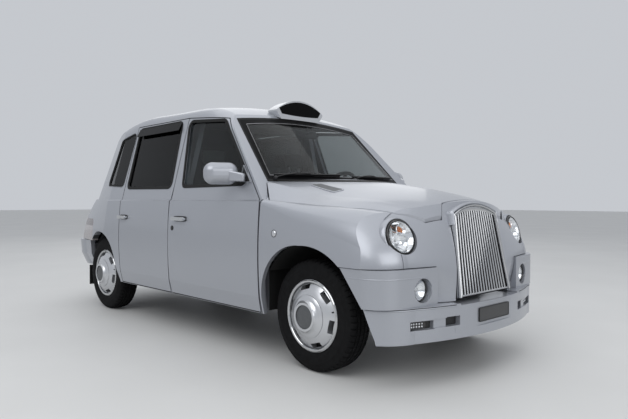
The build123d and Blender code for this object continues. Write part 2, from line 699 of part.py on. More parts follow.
def chassis_frame():
    # Two rails swept up over the rear axle, joined by cross members.
    top, deep = FLOOR_DEEP_Z - SEAT_GAP, 90
    steps = [(2060, top - deep), (2060, top), (-1020, top), (-1140, 540), (-1640, 540), (-1760, 470), (-2120, 470)]
    steps += [(-2120, 400), (-1740, 400), (-1620, 465), (-1170, 465), (-1060, top - deep)]
    rail = side_prism(steps, RAIL_Y, RAIL_Y + RAIL_WIDTH)
    frame = rail + on_right(rail)
    for x, low, high in (
        (2030, top - 80, top - 10),
        (1060, top - 42, top - 6),
        (420, top - 42, top - 6),
        (-220, top - 42, top - 6),
        (-860, top - 42, top - 6),
        (-1200, 470, 535),
        (-2080, 405, 465),
    ):
        frame += block(x - 30, x + 30, -RAIL_Y - 1, RAIL_Y + 1, low, high)
    return frame


def front_suspension():
    # Cross beam under the rails, towers beside them, wishbones and struts.
    x, z = FRONT_AXLE_X, TYRE_RADIUS
    rail_foot = FLOOR_DEEP_Z - 90 - 2 * SEAT_GAP
    tower = RAIL_Y + RAIL_WIDTH + SEAT_GAP
    beam = block(x - 70, x + 70, -tower - 20, tower + 20, 225, rail_foot)
    for side in (-1, 1):
        beam += block(x - 70, x + 70, tower * side, (tower + 20) * side, 225, z + 247)
        beam += block(x - 40, x + 40, tower * side, 495 * side, z + 217, z + 247)
        for height in (z - 122, z + 137):
            for back in (-55, 55):
                beam += rod((x + back, (tower + 10) * side, height + 20 * (height > z)), (x, 655 * side, height), 14)
        beam += rod((x, 500 * side, z - 128), (x, 465 * side, z + 230), 38)
        beam += rod((x, KINGPIN_Y * side, z - 130), (x, KINGPIN_Y * side, z - 72), KINGPIN_RADIUS)
        beam += rod((x, KINGPIN_Y * side, z + 145), (x, KINGPIN_Y * side, z + 87), KINGPIN_RADIUS)
    return beam


def rear_axle():
    x, z = REAR_AXLE_X, TYRE_RADIUS
    axle = rod((x, -640, z), (x, 640, z), 42) + Pos(x, 0, z) * Sphere(120)
    for side in (-1, 1):
        axle += rod((x, 630 * side, z), (x, (WHEEL_Y + 58) * side, z), HUB_BORE)
        axle += rod((x, 640 * side, z), (x, 668 * side, z), 130)
        axle += rod((x + 10, 450 * side, z + 30), (x + 10, 450 * side, 560 - SEAT_GAP), 55)
        axle += rod((x, 348 * side, z - 40), (-880, 348 * side, 245), 18)
        axle += block(-900, -860, 333 * side, 363 * side, 235, FLOOR_DEEP_Z - 90 - 2 * SEAT_GAP)
    return axle


def drive_line():
    return rod((690, 0, 262), (REAR_AXLE_X + 125, 0, 300), 30)


def engine_block():
    engine = block(1330, 1900, -250, 250, FLOOR_DEEP_Z - 90 - SEAT_GAP, 860)
    engine = fillet(engine.edges().filter_by(Axis.X), 40)
    return engine + block(691, 1331, -120, 120, 190, 335)


def radiator():
    # Core on the front cross member, with the bonnet's latch post above it.
    return block(2010, 2040, -240, 240, FLOOR_DEEP_Z - 10, 880) + block(2018, 2026, -12, 12, 879, 1033.6)


def exhaust():
    z = 262
    route = ((1250, -200), (-560, -225), (-780, -440), (-2180, -440))
    pipe = None
    for (x0, y0), (x1, y1) in zip(route, route[1:]):
        leg = rod((x0, y0, z), (x1, y1, z), 24) + Pos(x1, y1, z) * Sphere(24)
        pipe = leg if pipe is None else pipe + leg
    pipe += rod((200, -214, z), (-500, -224, z), 70)
    pipe += block(655, 685, -330, -195, z, FLOOR_DEEP_Z - 90 - 2 * SEAT_GAP)
    return pipe + block(-1860, -1840, -455, -345, z, 400 - SEAT_GAP)


def fuel_tank():
    tank = block(-2060, -1800, -340, 340, 215, 400 - SEAT_GAP)
    return fillet(tank.edges().filter_by(Axis.Y), 30)


STEERING_HUB = (600, 360, 1110)
COLUMN_END = (800, 360, 975)


def dashboard():
    # Wide padded top, with a narrower part forward of it that meets the bulkhead.
    wide = side_prism([(700, 780), (690, 1030), (760, 1085), (985, 1100), (985, 700), (860, 660)], -690, 690)
    narrow = side_prism([(900, 700), (900, 1098), (1040 - SEAT_GAP, 1102), (1040 - SEAT_GAP, 700)], -560, 560)
    return wide + narrow - rod(STEERING_HUB, COLUMN_END, 28 + SEAT_GAP)


def steering_wheel():
    axis = Vector(*STEERING_HUB) - Vector(*COLUMN_END)
    place = Plane(origin=STEERING_HUB, x_dir=(0, 1, 0), z_dir=axis)
    wheel_rim = place * Torus(195, 15)
    spokes = place * Box(380, 30, 14) + place * Cylinder(55, 40) + place * Pos(0, -95, 0) * Box(30, 190, 14)
    return wheel_rim + spokes + rod(STEERING_HUB, COLUMN_END, 28)


def seat(x, y, width, depth, seat_z, back_height, lean):
    base = block(x, x + depth, y - width / 2, y + width / 2, FLOOR_Z + 150, seat_z)
    base = fillet(base.edges(), 35)
    steps = [(x + 20, seat_z - 60), (x + 120, seat_z - 60), (x + 60 - lean, seat_z + back_height), (x - 40 - lean, seat_z + back_height)]
    back = side_prism(steps, y - width / 2 + 10, y + width / 2 - 10)
    back = fillet(back.edges(), 30)
    return base + back


def driver_seat():
    both = seat(90, 370, 500, 480, 790, 520, 60)
    both += rod((35, 310, 1290), (30, 310, 1350), 7) + rod((35, 430, 1290), (30, 430, 1350), 7)
    both += fillet(block(-5, 75, 250, 490, 1335, 1475).edges(), 30)
    both += block(140, 500, 200, 540, FLOOR_Z + SEAT_GAP, FLOOR_Z + 160)
    return both


def rear_bench():
    cushion = fillet(block(-1420, -960, -540, 540, 575 + SEAT_GAP, 760).edges(), 40)
    steps = [(-1400, 700), (-1290, 700), (-1400, 1290), (-1500, 1290)]
    return cushion + fillet(side_prism(steps, -540, 540).edges(), 35)


def tip_up_seat(side):
    # Folded against the partition, with its headrest on two stalks.
    back = fillet(block(-100 - SEAT_GAP, -175, 190 * side, 590 * side, 600, 1150).edges(), 20)
    for y in (340, 440):
        back += rod((-135, y * side, 1140), (-135, y * side, 1350), 7)
    return back + fillet(block(-105, -170, 270 * side, 510 * side, 1335, 1480).edges(), 25)


def partition():
    steps = [(-60, FLOOR_Z + SEAT_GAP), (-60, 1700), (-100, 1700), (-100, FLOOR_Z + SEAT_GAP)]
    wall = side_prism(steps, -640, 640) - side_prism([(-200, 1180), (0, 1180), (0, 1640), (-200, 1640)], -560, 560)
    return wall & front_prism([(-640, 300), (640, 300), (685, 1100), (552, 1705), (-552, 1705), (-685, 1100)], -300, 300)


def roof_sign():
    # Lens-shaped box on the roof's front edge; its foot follows the roof.
    face = [(-250, 1764), ((0, SIGN_TOP_Z), (250, 1764)), (250, 1752), (205, 1690), (-205, 1690), (-250, 1752)]
    return front_prism(face, 420, 530) - Pos(0, 0, SEAT_GAP) * cabin_body(0)


def mirror_left():
    # Head on a short arm from a triangular foot in the window's front corner.
    head = fillet(Box(130, 232, 150).edges(), 62)
    head = Pos(760, 941, 1225) * Rot(0, 0, 27) * (head - block(-100, -34, -200, 200, -200, 200))
    foot = wall_slab(-12, 12 - SEAT_GAP, 830, 960) & side_prism([(955, 1166), (838, 1166), (838, 1285)], 700, 1000)
    arm = rod((890, 840, 1192), (800, 905, 1205), 22)
    return head + foot + arm


def handle(x, z, length):
    # Pull bar on two feet that stand on the door's skin.
    ends = (x - length / 2, x + length / 2)
    grip = block(*ends, 905, 917, z - 14, z + 14)
    grip = fillet(grip.edges().filter_by(Axis.Y), 10)
    feet = block(ends[0] + 5, ends[0] + 25, 860, 906, z - 9, z + 9) + block(ends[1] - 25, ends[1] - 5, 860, 906, z - 9, z + 9)
    return grip + feet - Pos(0, SEAT_GAP, 0) * lower_body(0)


def tail_lamp_box(grow):
    # Corner of the tail that the left lamp fills, down to the bumper's top.
    box = block(-2400, TAIL_LAMP_X + grow, 600 - grow, 1000, REAR_BUMPER_TOP_Z + PANEL_GAP, TAIL_LAMP_TOP_Z + grow)
    corner = box.edges().filter_by(Axis.Y).sort_by(Axis.X)[-2:].sort_by(Axis.Z)[-1]
    return fillet(corner, 40)


def mud_flap(side):
    return block(-1780, REAR_AXLE_X - 398 - SEAT_GAP, 620 * side, 790 * side, 190, REAR_BUMPER_FOOT_Z - SEAT_GAP)


def arch_liner(side):
    # Half-round inner arch over the front wheel.
    x, z = FRONT_AXLE_X + 13, TYRE_RADIUS + 2
    liner = rod((x, 395 * side, z), (x, 838 * side, z), 444) - rod((x, 300 * side, z), (x, 900 * side, z), 440)
    liner -= block(0, 1850, -1000, 1000, -200, TYRE_RADIUS + 247 + SEAT_GAP) + block(1750, 3000, -1000, 1000, -200, BUMPER_TOP_Z + 6)
    wall = rod((x, 396 * side, z), (x, 400 * side, z), 442)
    wall -= block(0, 1850, -1000, 1000, -200, TYRE_RADIUS + 247 + SEAT_GAP) + block(1750, 3000, -1000, 1000, -200, BUMPER_TOP_Z + 6)
    return liner + wall


def write(name, shape):
    solids = shape.solids()
    export_step(solids[0] if len(solids) == 1 else Compound(solids), f"parts/{name}.step")


def glass_panes():
    # Fixed panes: windscreen, rear window and the two quarter windows.
    screen = windscreen_prism(0) & (screen_tool(SCREEN_GLASS) - screen_tool(0))
    rear = rear_window_prism(0) & (tail_envelope(0, CABIN_TAIL) - tail_envelope(SCREEN_GLASS, CABIN_TAIL))
    deep = wall_slab(GLASS_DEPTH, 400, -1500, -800) & tail_envelope(GLASS_DEPTH, CABIN_TAIL)
    deeper = wall_slab(GLASS_DEPTH + GLASS, 400, -1500, -800) & tail_envelope(GLASS_DEPTH + GLASS, CABIN_TAIL)
    quarter = rounded_prism(grown(QUARTER_WINDOW, -SEAT_GAP), 45, 500, 1000) & (deep - deeper)
    return biggest(screen), biggest(rear), biggest(quarter)


def build():
    os.makedirs("parts", exist_ok=True)
    outer = main_body(0, 0)
    shell = outer - main_body(SIDE_WALL, FRAME_WALL)
    front_half = (front_body(0) - front_body(PANEL_WALL)) & LEFT_HALF
    for name, shape in doors(shell).items():
        write(name + "_left", shape)
        write(name + "_right", on_right(shape))
    windscreen, rear_window, quarter = glass_panes()
    write("body_shell", both_halves(body_half(outer, shell)))
    write("windscreen", windscreen)
    write("rear_glass", Compound([rear_window, quarter, on_right(quarter)]))
    lid = shell & boot_prism(PANEL_GAP)
    write("boot_lid", both_halves(biggest(lid)))
    under_lip = front_body(BONNET_LIP) & (bonnet_prism(0) - bonnet_prism(-26)) & block(1950, 2400, -10, 1200, 700, 1300)
    write("bonnet", both_halves(biggest((front_half & bonnet_prism(0)) - under_lip)))
    ahead = front_half - block(0, FRONT_SEAM_X + 10, -10, 1200, 0, 2000)
    wing = wing_half(ahead)
    write("wing_left", wing)
    write("wing_right", on_right(wing))
    write("nose_panel", both_halves(nose_half()))
    write("grille", grille())
    write("front_bumper", front_bumper())
    write("rear_bumper", rear_bumper())
    tail_lamp = biggest(shell & tail_lamp_box(0))
    write("tail_lamps", Compound([tail_lamp, on_right(tail_lamp)]))
    write("mud_flaps", Compound([mud_flap(1), mud_flap(-1)]))
    write("arch_liners", Compound([arch_liner(1), arch_liner(-1)]))
    write("headlamps", Compound([headlamp(1), headlamp(-1)]))
    write("fog_lamps", Compound([fog_lamp(1), fog_lamp(-1)]))
    for end, x in (("front", FRONT_AXLE_X), ("rear", REAR_AXLE_X)):
        for hand, side in (("left", 1), ("right", -1)):
            write(f"tyre_{end}_{hand}", at_wheel(tyre(), x, side))
            write(f"wheel_{end}_{hand}", at_wheel(wheel(), x, side))
    write("knuckle_left", knuckle())
    write("knuckle_right", on_right(knuckle()))
    write("floor_pan", floor_pan())
    write("chassis_frame", chassis_frame())
    write("front_suspension", front_suspension())
    write("rear_axle", rear_axle())
    write("drive_shaft", drive_line())
    write("engine_block", engine_block())
    write("radiator", radiator())
    write("exhaust", exhaust())
    write("fuel_tank", fuel_tank())
    write("dashboard", dashboard())
    write("steering_wheel", steering_wheel())
    write("driver_seat", driver_seat())
    write("rear_bench", rear_bench())
    write("partition", partition())
    write("tip_up_seats", Compound([tip_up_seat(1), tip_up_seat(-1)]))
    write("roof_sign", roof_sign())
    write("mirror_left", mirror_left())
    write("mirror_right", on_right(mirror_left()))
    for door, x, z, length in (("front", 135, 900, 180), ("rear", -815, 893, 140)):
        write(f"handle_{door}_left", handle(x, z, length))
        write(f"handle_{door}_right", on_right(handle(x, z, length)))


if __name__ == "__main__":
    build()
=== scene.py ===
import json
from math import copysign, cos, hypot, pi, radians, sin, sqrt, tan

import bmesh
import bpy
from mathutils import Matrix, Vector
from mathutils.bvhtree import BVHTree


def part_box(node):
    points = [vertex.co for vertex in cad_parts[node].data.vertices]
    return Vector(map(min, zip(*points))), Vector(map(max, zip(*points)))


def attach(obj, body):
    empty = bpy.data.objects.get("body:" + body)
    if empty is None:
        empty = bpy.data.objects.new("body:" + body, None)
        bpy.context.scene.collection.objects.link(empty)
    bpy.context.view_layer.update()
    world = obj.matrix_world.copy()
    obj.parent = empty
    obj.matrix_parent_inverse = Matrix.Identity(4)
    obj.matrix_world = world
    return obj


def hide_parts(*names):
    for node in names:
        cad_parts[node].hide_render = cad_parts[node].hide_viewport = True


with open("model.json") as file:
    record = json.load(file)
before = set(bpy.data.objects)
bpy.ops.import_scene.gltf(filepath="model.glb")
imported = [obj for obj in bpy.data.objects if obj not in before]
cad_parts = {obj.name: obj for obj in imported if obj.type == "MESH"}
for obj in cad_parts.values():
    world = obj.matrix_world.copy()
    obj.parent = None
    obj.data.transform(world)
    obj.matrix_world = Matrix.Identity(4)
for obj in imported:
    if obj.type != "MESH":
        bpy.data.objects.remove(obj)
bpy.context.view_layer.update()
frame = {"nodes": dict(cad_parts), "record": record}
NODES = frame["nodes"]


# Materials

COAT_ROUGH = 0.1
FLAKE_SCALE = 900.0
BUMP_DEPTH = 0.001
LINING_TURN = -0.22
CABIN_MIDDLE = (-0.25, 0.0, 1.05)
TAIL_PARTING_Z = 0.79


def blank_material(name):
    mat = bpy.data.materials.new(name)
    mat.use_nodes = True
    mat.node_tree.nodes.new("ShaderNodeTexCoord")
    return mat


def shader_of(mat):
    return mat.node_tree.nodes["Principled BSDF"]


def place_of(mat):
    return mat.node_tree.nodes["Texture Coordinate"].outputs["Object"]


def set_inputs(mat, node, inputs):
    # Each input is linked to an output or set to a value.
    for key, value in inputs.items():
        if isinstance(value, bpy.types.NodeSocket):
            mat.node_tree.links.new(value, node.inputs[key])
        else:
            node.inputs[key].default_value = value


def add_node(mat, kind, inputs, **settings):
    node = mat.node_tree.nodes.new("ShaderNode" + kind)
    for name, value in settings.items():
        setattr(node, name, value)
    set_inputs(mat, node, inputs)
    return node


def add_noise(mat, scale, detail):
    noise = add_node(mat, "TexNoise", {"Vector": place_of(mat), "Scale": scale, "Detail": detail})
    return noise.outputs["Fac"]


def add_bump(mat, height, strength):
    bump = add_node(mat, "Bump", {"Height": height, "Strength": strength, "Distance": BUMP_DEPTH})
    set_inputs(mat, shader_of(mat), {"Normal": bump.outputs["Normal"]})


def add_ramp(mat, amount, low, high, ends=(0.0, 1.0)):
    # Base colour blended between two colours.
    ramp = add_node(mat, "ValToRGB", {"Fac": amount})
    for element, color, place in zip(ramp.color_ramp.elements, (low, high), ends):
        element.position = place
        element.color = (*color, 1)
    set_inputs(mat, shader_of(mat), {"Base Color": ramp.outputs["Color"]})


def material(name, color, rough=0.5, metal=0.0, coat=0.0, clear=0.0, grain=None, vary=None, shine=0.5,
             ior=1.45):
    # Grain is a bump and vary a change of colour, each given as (strength, scale).
    mat = blank_material(name)
    set_inputs(mat, shader_of(mat), {
        "Base Color": (*color, 1), "Roughness": rough, "Metallic": metal, "Coat Weight": coat, "IOR": ior,
        "Coat Roughness": COAT_ROUGH, "Transmission Weight": clear, "Specular IOR Level": shine,
    })
    if vary:
        dark = [max(0.0, c * (1 - vary[0])) for c in color]
        light = [min(1.0, c * (1 + vary[0])) for c in color]
        add_ramp(mat, add_noise(mat, vary[1], 3.0), dark, light, (0.3, 0.7))
    if grain:
        add_bump(mat, add_noise(mat, grain[1], 4.0), grain[0])
    return mat


PAINT = material("paint", (0.375, 0.39, 0.425), 0.34, 0.55, coat=0.5, vary=(0.05, FLAKE_SCALE))
BLACK = material("black_plastic", (0.012, 0.012, 0.013), 0.42, grain=(0.25, 900))
GLOSS_BLACK = material("gloss_black", (0.006, 0.006, 0.007), 0.09, coat=0.6, vary=(0.1, 6))
RUBBER = material("rubber", (0.01, 0.01, 0.01), 0.62, grain=(0.2, 700), shine=0.25)
TYRE = material("tyre_rubber", (0.0075, 0.0075, 0.008), 0.72, grain=(0.3, 900), vary=(0.25, 30), shine=0.12)
CHROME = material("chrome", (0.83, 0.84, 0.85), 0.06, 1.0, vary=(0.03, 15))
SATIN = material("wheel_silver", (0.6, 0.61, 0.63), 0.28, 0.85, coat=0.4, vary=(0.04, FLAKE_SCALE))
# Near-black matte: the colour of thin dark seam lines, and painted shade on sheets and rings put where
# hollows and the space behind parts lie in shade.
SEAM_AND_SHADE = material("seam_and_shade_black", (0.004, 0.004, 0.004), 0.9, vary=(0.3, 6))
# Dark grey: the bonnet vent's own colour, and painted shade for the groove round each wheel rim.
HUB = material("hub_grey", (0.09, 0.095, 0.1), 0.4, 0.4, vary=(0.15, 40))
CHASSIS = material("chassis_black", (0.02, 0.02, 0.021), 0.6, grain=(0.3, 200), vary=(0.3, 12))
STEEL = material("steel", (0.32, 0.32, 0.33), 0.38, 0.9, grain=(0.15, 500), vary=(0.15, 14))
IRON = material("iron", (0.06, 0.06, 0.06), 0.65, 0.5, grain=(0.5, 350), vary=(0.3, 20))
ALLOY = material("alloy", (0.42, 0.42, 0.43), 0.42, 0.9, grain=(0.3, 300), vary=(0.1, 25))
TRIM = material("trim_grey", (0.03, 0.031, 0.034), 0.66, grain=(0.35, 900), vary=(0.12, 40))
CARPET = material("carpet", (0.03, 0.03, 0.032), 0.95, grain=(0.8, 1200), vary=(0.3, 160))
CLOTH = material("seat_cloth", (0.035, 0.038, 0.045), 0.9, grain=(0.6, 1500), vary=(0.35, 400))
COVER = material("headrest_cover", (0.85, 0.85, 0.84), 0.85, grain=(0.4, 700), vary=(0.04, 60))
GLASS = material("clear_glass", (0.42, 0.45, 0.45), 0.02, clear=1.0, vary=(0.01, 6), ior=1.22)
TINT = material("tinted_glass", (0.035, 0.04, 0.042), 0.02, clear=1.0, vary=(0.02, 6), ior=1.22)
LENS = material("lamp_lens", (0.95, 0.96, 0.97), 0.03, clear=1.0, vary=(0.01, 6))
AMBER = material("amber_lens", (0.85, 0.25, 0.02), 0.1, clear=0.5, vary=(0.08, 6))
RED = material("red_lens", (0.28, 0.008, 0.008), 0.08, coat=0.6, vary=(0.12, 60))
SMOKE = material("smoked_lens", (0.012, 0.012, 0.013), 0.25, vary=(0.15, 40), shine=0.08)
FRIT = material("glass_border", (0.004, 0.004, 0.0045), 0.36, vary=(0.1, 40), shine=0.06)
MIRROR = material("mirror_glass", (0.9, 0.91, 0.92), 0.02, 1.0, vary=(0.01, 6))
# Chrome at two thirds of CHROME's colour: a shaded copy, painted shade on the grille and the wheel rims.
SHADED_CHROME = material("shaded_chrome", (0.55, 0.555, 0.565), 0.1, 1.0, vary=(0.03, 15))
CAP = material("cap_grey", (0.115, 0.12, 0.125), 0.38, 0.5, vary=(0.08, 40))
PIPING = material("piping", (0.012, 0.012, 0.014), 0.8, grain=(0.3, 900))
DIAL = material("dial_face", (0.02, 0.022, 0.03), 0.25, coat=0.5, vary=(0.2, 60))
PLATE = material("blank_plate", (0.022, 0.022, 0.024), 0.35, coat=0.3, vary=(0.1, 20))


def lined(outside, inside, middle):
    # Outside finish that turns into cabin lining where the surface faces the middle of the cabin.
    mat = blank_material(outside.name + "_lined")
    paint, finish = shader_of(mat), shader_of(outside)
    for name in ("Roughness", "Metallic", "Coat Weight", "Coat Roughness"):
        paint.inputs[name].default_value = finish.inputs[name].default_value
    base = finish.inputs["Base Color"].default_value
    dark, light = [[c * share for c in base[:3]] for share in (0.95, 1.05)]
    add_ramp(mat, add_noise(mat, FLAKE_SCALE, 2.0), dark, light)
    lining = shader_of(inside).inputs["Base Color"].default_value
    cloth = add_node(mat, "BsdfPrincipled", {"Base Color": lining, "Roughness": 0.8})
    away = add_node(mat, "VectorMath", {0: place_of(mat), 1: middle}, operation="SUBTRACT")
    unit = add_node(mat, "VectorMath", {0: away.outputs["Vector"]}, operation="NORMALIZE")
    normal = mat.node_tree.nodes["Texture Coordinate"].outputs["Normal"]
    outward = add_node(mat, "VectorMath", {0: unit.outputs["Vector"], 1: normal}, operation="DOT_PRODUCT")
    inward = add_node(mat, "Math", {0: outward.outputs["Value"], 1: LINING_TURN}, operation="LESS_THAN")
    both = {"Fac": inward.outputs["Value"], 1: paint.outputs["BSDF"], 2: cloth.outputs["BSDF"]}
    mix = add_node(mat, "MixShader", both)
    set_inputs(mat, mat.node_tree.nodes["Material Output"], {"Surface": mix.outputs["Shader"]})
    return mat


def banded(name, low, high, level):
    # Lamp glass in two tints, parted at a height, with fine ribs across it.
    mat = material(name, low, 0.08, coat=0.6)
    split = add_node(mat, "SeparateXYZ", {"Vector": place_of(mat)})
    above = add_node(mat, "Math", {0: split.outputs["Z"], 1: level}, operation="GREATER_THAN")
    add_ramp(mat, above.outputs["Value"], low, high)
    ribs = add_node(mat, "TexWave", {"Vector": place_of(mat), "Scale": 55}, bands_direction="Z")
    add_bump(mat, ribs.outputs["Fac"], 0.3)
    return mat


LINED = lined(PAINT, TRIM, CABIN_MIDDLE)
TAIL = banded("tail_lens", (0.33, 0.3, 0.3), (0.055, 0.03, 0.03), TAIL_PARTING_Z)

SLOT_MATERIALS = {
    "paint": PAINT, "black_plastic": BLACK, "black_metal": CHASSIS, "chrome": CHROME, "wheel_silver": SATIN,
    "tyre": TYRE, "rubber": RUBBER, "glass": GLASS, "dark_glass": TINT, "lamp": CHROME, "red_lamp": RED,
    "steel": STEEL, "aluminium": ALLOY, "cast_iron": IRON, "trim": TRIM, "fabric": CLOTH,
}


def wear(obj, mat):
    obj.data.materials.clear()
    obj.data.materials.append(mat)


for part in frame["record"]["subparts"]:
    wear(NODES[part["node"]], SLOT_MATERIALS[part["material_slot"]])
wear(NODES["floor_pan"], CARPET)
wear(NODES["tail_lamps"], TAIL)
# Black arch liners, given near-black matte as painted shade inside the wheel arches.
wear(NODES["arch_liners"], SEAM_AND_SHADE)
wear(NODES["mud_flaps"], RUBBER)
for node in ("body_shell", "door_front_left", "door_front_right", "door_rear_left", "door_rear_right"):
    wear(NODES[node], LINED)


def soften(node, width, segments=3):
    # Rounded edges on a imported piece.
    edges = NODES[node].modifiers.new("edges", "BEVEL")
    edges.width = width
    edges.segments = segments
    edges.limit_method = "ANGLE"
    edges.angle_limit = radians(50)
    edges.use_clamp_overlap = True
    edges.harden_normals = True


soften("front_bumper", 0.007)
soften("rear_bumper", 0.007)
soften("roof_sign", 0.006)
for node in ("bonnet", "boot_lid", "nose_panel", "wing_left", "wing_right"):
    soften(node, 0.0016, 2)


# Making meshes

WELD = 0.00005


def mend(mesh, weld=0.0):
    # Faces turned outwards, once points nearer than weld are joined.
    work = bmesh.new()
    work.from_mesh(mesh)
    if weld:
        bmesh.ops.remove_doubles(work, verts=work.verts, dist=weld)
    bmesh.ops.recalc_face_normals(work, faces=work.faces)
    work.to_mesh(mesh)
    work.free()


def new_object(name, data):
    obj = bpy.data.objects.new(name, data)
    bpy.context.scene.collection.objects.link(obj)
    return obj


def new_mesh(name, verts, faces, mat, body="body", angle=40):
    mesh = bpy.data.meshes.new(name)
    mesh.from_pydata([tuple(v) for v in verts], [], faces)
    mesh.update()
    mend(mesh)
    obj = new_object(name, mesh)
    mesh.shade_smooth()
    mesh.set_sharp_from_angle(angle=radians(angle))
    wear(obj, mat)
    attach(obj, body)
    return obj


def section_faces(rows, wide, closed=True):
    # Faces between one closed section of points and the next.
    faces = []
    for i in range(rows if closed else rows - 1):
        j = (i + 1) % rows
        for k in range(wide):
            m = (k + 1) % wide
            faces.append((i * wide + k, i * wide + m, j * wide + m, j * wide + k))
    return faces


def sweep(name, points, ups, profile, mat, closed=False):
    # Profile of (aside, above) points carried along a path; ups gives the way out of the surface.
    count, wide = len(points), len(profile)
    verts = []
    for i, p in enumerate(points):
        a = points[i - 1] if closed or i else p
        b = points[(i + 1) % count] if closed or i < count - 1 else p
        along = (b - a).normalized()
        up = (ups[i] - along * ups[i].dot(along)).normalized()
        side = along.cross(up)
        verts += [p + side * u + up * v for u, v in profile]
    faces = section_faces(count, wide, closed)
    if not closed:
        faces.append(tuple(range(wide)))
        faces.append(tuple(range((count - 1) * wide, count * wide)))
    return new_mesh(name, verts, faces, mat)


def circle(radius, sides):
    turns = [2 * pi * k / sides for k in range(sides)]
    return [(radius * cos(a), radius * sin(a)) for a in turns]


def tube(name, points, radius, mat, sides=10):
    points = [Vector(p) for p in points]
    ups = []
    for i in range(len(points)):
        along = (points[min(i + 1, len(points) - 1)] - points[max(i - 1, 0)]).normalized()
        ups.append(Vector((0, 0, 1)) if abs(along.z) < 0.9 else Vector((0, 1, 0)))
    return sweep(name, points, ups, circle(radius, sides), mat)


def turned(name, profile, place, mat, body="body", sides=64, angle=40):
    # Profile of (radius, height) turned about the place's Z axis.
    verts = []
    for i in range(sides):
        turn = 2 * pi * i / sides
        for r, h in profile:
            verts.append(place @ Vector((r * cos(turn), r * sin(turn), h)))
    obj = new_mesh(name, verts, section_faces(sides, len(profile)), mat, body, angle)
    mend(obj.data, WELD)
    return obj


def slab(name, corners, depth, mat, body="body", soft=0.0, segments=3):
    # Flat polygon of 3-D corners thickened by the vector depth, with rounded edges.
    count = len(corners)
    verts = [Vector(c) for c in corners] + [Vector(c) + Vector(depth) for c in corners]
    faces = [tuple(range(count)), tuple(range(2 * count - 1, count - 1, -1))]
    faces += [(k, (k + 1) % count, (k + 1) % count + count, k + count) for k in range(count)]
    obj = new_mesh(name, verts, faces, mat, body)
    if soft:
        bevel = obj.modifiers.new("edges", "BEVEL")
        bevel.width = soft
        bevel.segments = segments
        bevel.limit_method = "ANGLE"
    return obj


def box_piece(name, low, high, mat, soft=0.0):
    (x0, y0, z0), (x1, y1, z1) = low, high
    corners = [(x0, y0, z0), (x1, y0, z0), (x1, y1, z0), (x0, y1, z0)]
    return slab(name, corners, (0, 0, z1 - z0), mat, soft=soft)


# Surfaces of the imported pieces, for laying trim on them

TREES = {}


def tree(node):
    if node not in TREES:
        mesh = NODES[node].data
        mesh.calc_loop_triangles()
        places = [v.co.copy() for v in mesh.vertices]
        TREES[node] = BVHTree.FromPolygons(places, [tuple(t.vertices) for t in mesh.loop_triangles])
    return TREES[node]


def hit(nodes, origin, way):
    best = None
    for node in nodes:
        place, normal, _, far = tree(node).ray_cast(Vector(origin), Vector(way))
        if place is not None and (best is None or far < best[2]):
            best = (place, normal if normal.dot(Vector(way)) < 0 else -normal, far)
    return best


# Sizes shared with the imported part, in metres

BELT_Y, BELT_Z, TUMBLEHOME = 0.826, 1.162, 0.2535
SHOULDER_Y, SHOULDER_Z = 0.872, 1.036
SEAL_INNER, SEAL_OUTER, SEAL_RISE, SEAL_DROP = -0.006, 0.018, 0.002, 0.004
WINDOW_RADIUS = 0.04
SIDES = (("left", 1), ("right", -1))
FRONT_WINDOW = ((0.088, 1.154), (0.938, 1.16), (0.48, 1.632), (-0.018, 1.67))
REAR_WINDOW = ((-0.85, 1.156), (-0.098, 1.15), (-0.138, 1.676), (-0.855, 1.674))
QUARTER_WINDOW = ((-1.335, 1.176), (-0.945, 1.16), (-0.915, 1.664), (-1.225, 1.6))


def skin(z):
    # Half width of the side at a height.
    if z > BELT_Z:
        return BELT_Y - (z - BELT_Z) * TUMBLEHOME
    return SHOULDER_Y + (BELT_Y - SHOULDER_Y) * (z - SHOULDER_Z) / (BELT_Z - SHOULDER_Z)


def moved_corners(corners, amount):
    # Polygon with each side moved out by amount.
    count = len(corners)
    cx = sum(c[0] for c in corners) / count
    cz = sum(c[1] for c in corners) / count
    out = []
    for k in range(count):
        lines = []
        for a, b in ((corners[k - 1], corners[k]), (corners[k], corners[(k + 1) % count])):
            length = hypot(b[0] - a[0], b[1] - a[1])
            nx, nz = (b[1] - a[1]) / length, (a[0] - b[0]) / length
            if nx * (cx - a[0]) + nz * (cz - a[1]) > 0:
                nx, nz = -nx, -nz
            lines.append((nx, nz, nx * a[0] + nz * a[1] + amount))
        (a1, b1, c1), (a2, b2, c2) = lines
        det = a1 * b2 - a2 * b1
        out.append(((c1 * b2 - c2 * b1) / det, (a1 * c2 - a2 * c1) / det))
    return out


def rounded(corners, radius, steps=7, between=6):
    # Closed path round a polygon, with arcs at its corners and extra points on its sides.
    count = len(corners)
    path = []
    for k in range(count):
        p, q, r = Vector(corners[k - 1]), Vector(corners[k]), Vector(corners[(k + 1) % count])
        a, b = (p - q).normalized(), (r - q).normalized()
        half = a.angle(b) / 2
        back = radius / tan(half)
        centre = q + (a + b).normalized() * (radius / sin(half))
        start, end = q + a * back, q + b * back
        if path:
            here = path[-1]
            path += [here.lerp(start, (i + 1) / (between + 1)) for i in range(between)]
        u, v = start - centre, end - centre
        total = u.angle(v)
        for i in range(steps + 1):
            t = i / steps
            path.append(centre + (u * sin((1 - t) * total) + v * sin(t * total)) / sin(total))
    here, there = path[-1], path[0]
    path += [here.lerp(there, (i + 1) / (between + 1)) for i in range(between)]
    return path


def along(a, b, steps):
    # Even points from a to b, both included.
    return [(a[0] + (b[0] - a[0]) * i / steps, a[1] + (b[1] - a[1]) * i / steps) for i in range(steps + 1)]


def grown(corners, amount, radius):
    return rounded(moved_corners(corners, amount), radius)


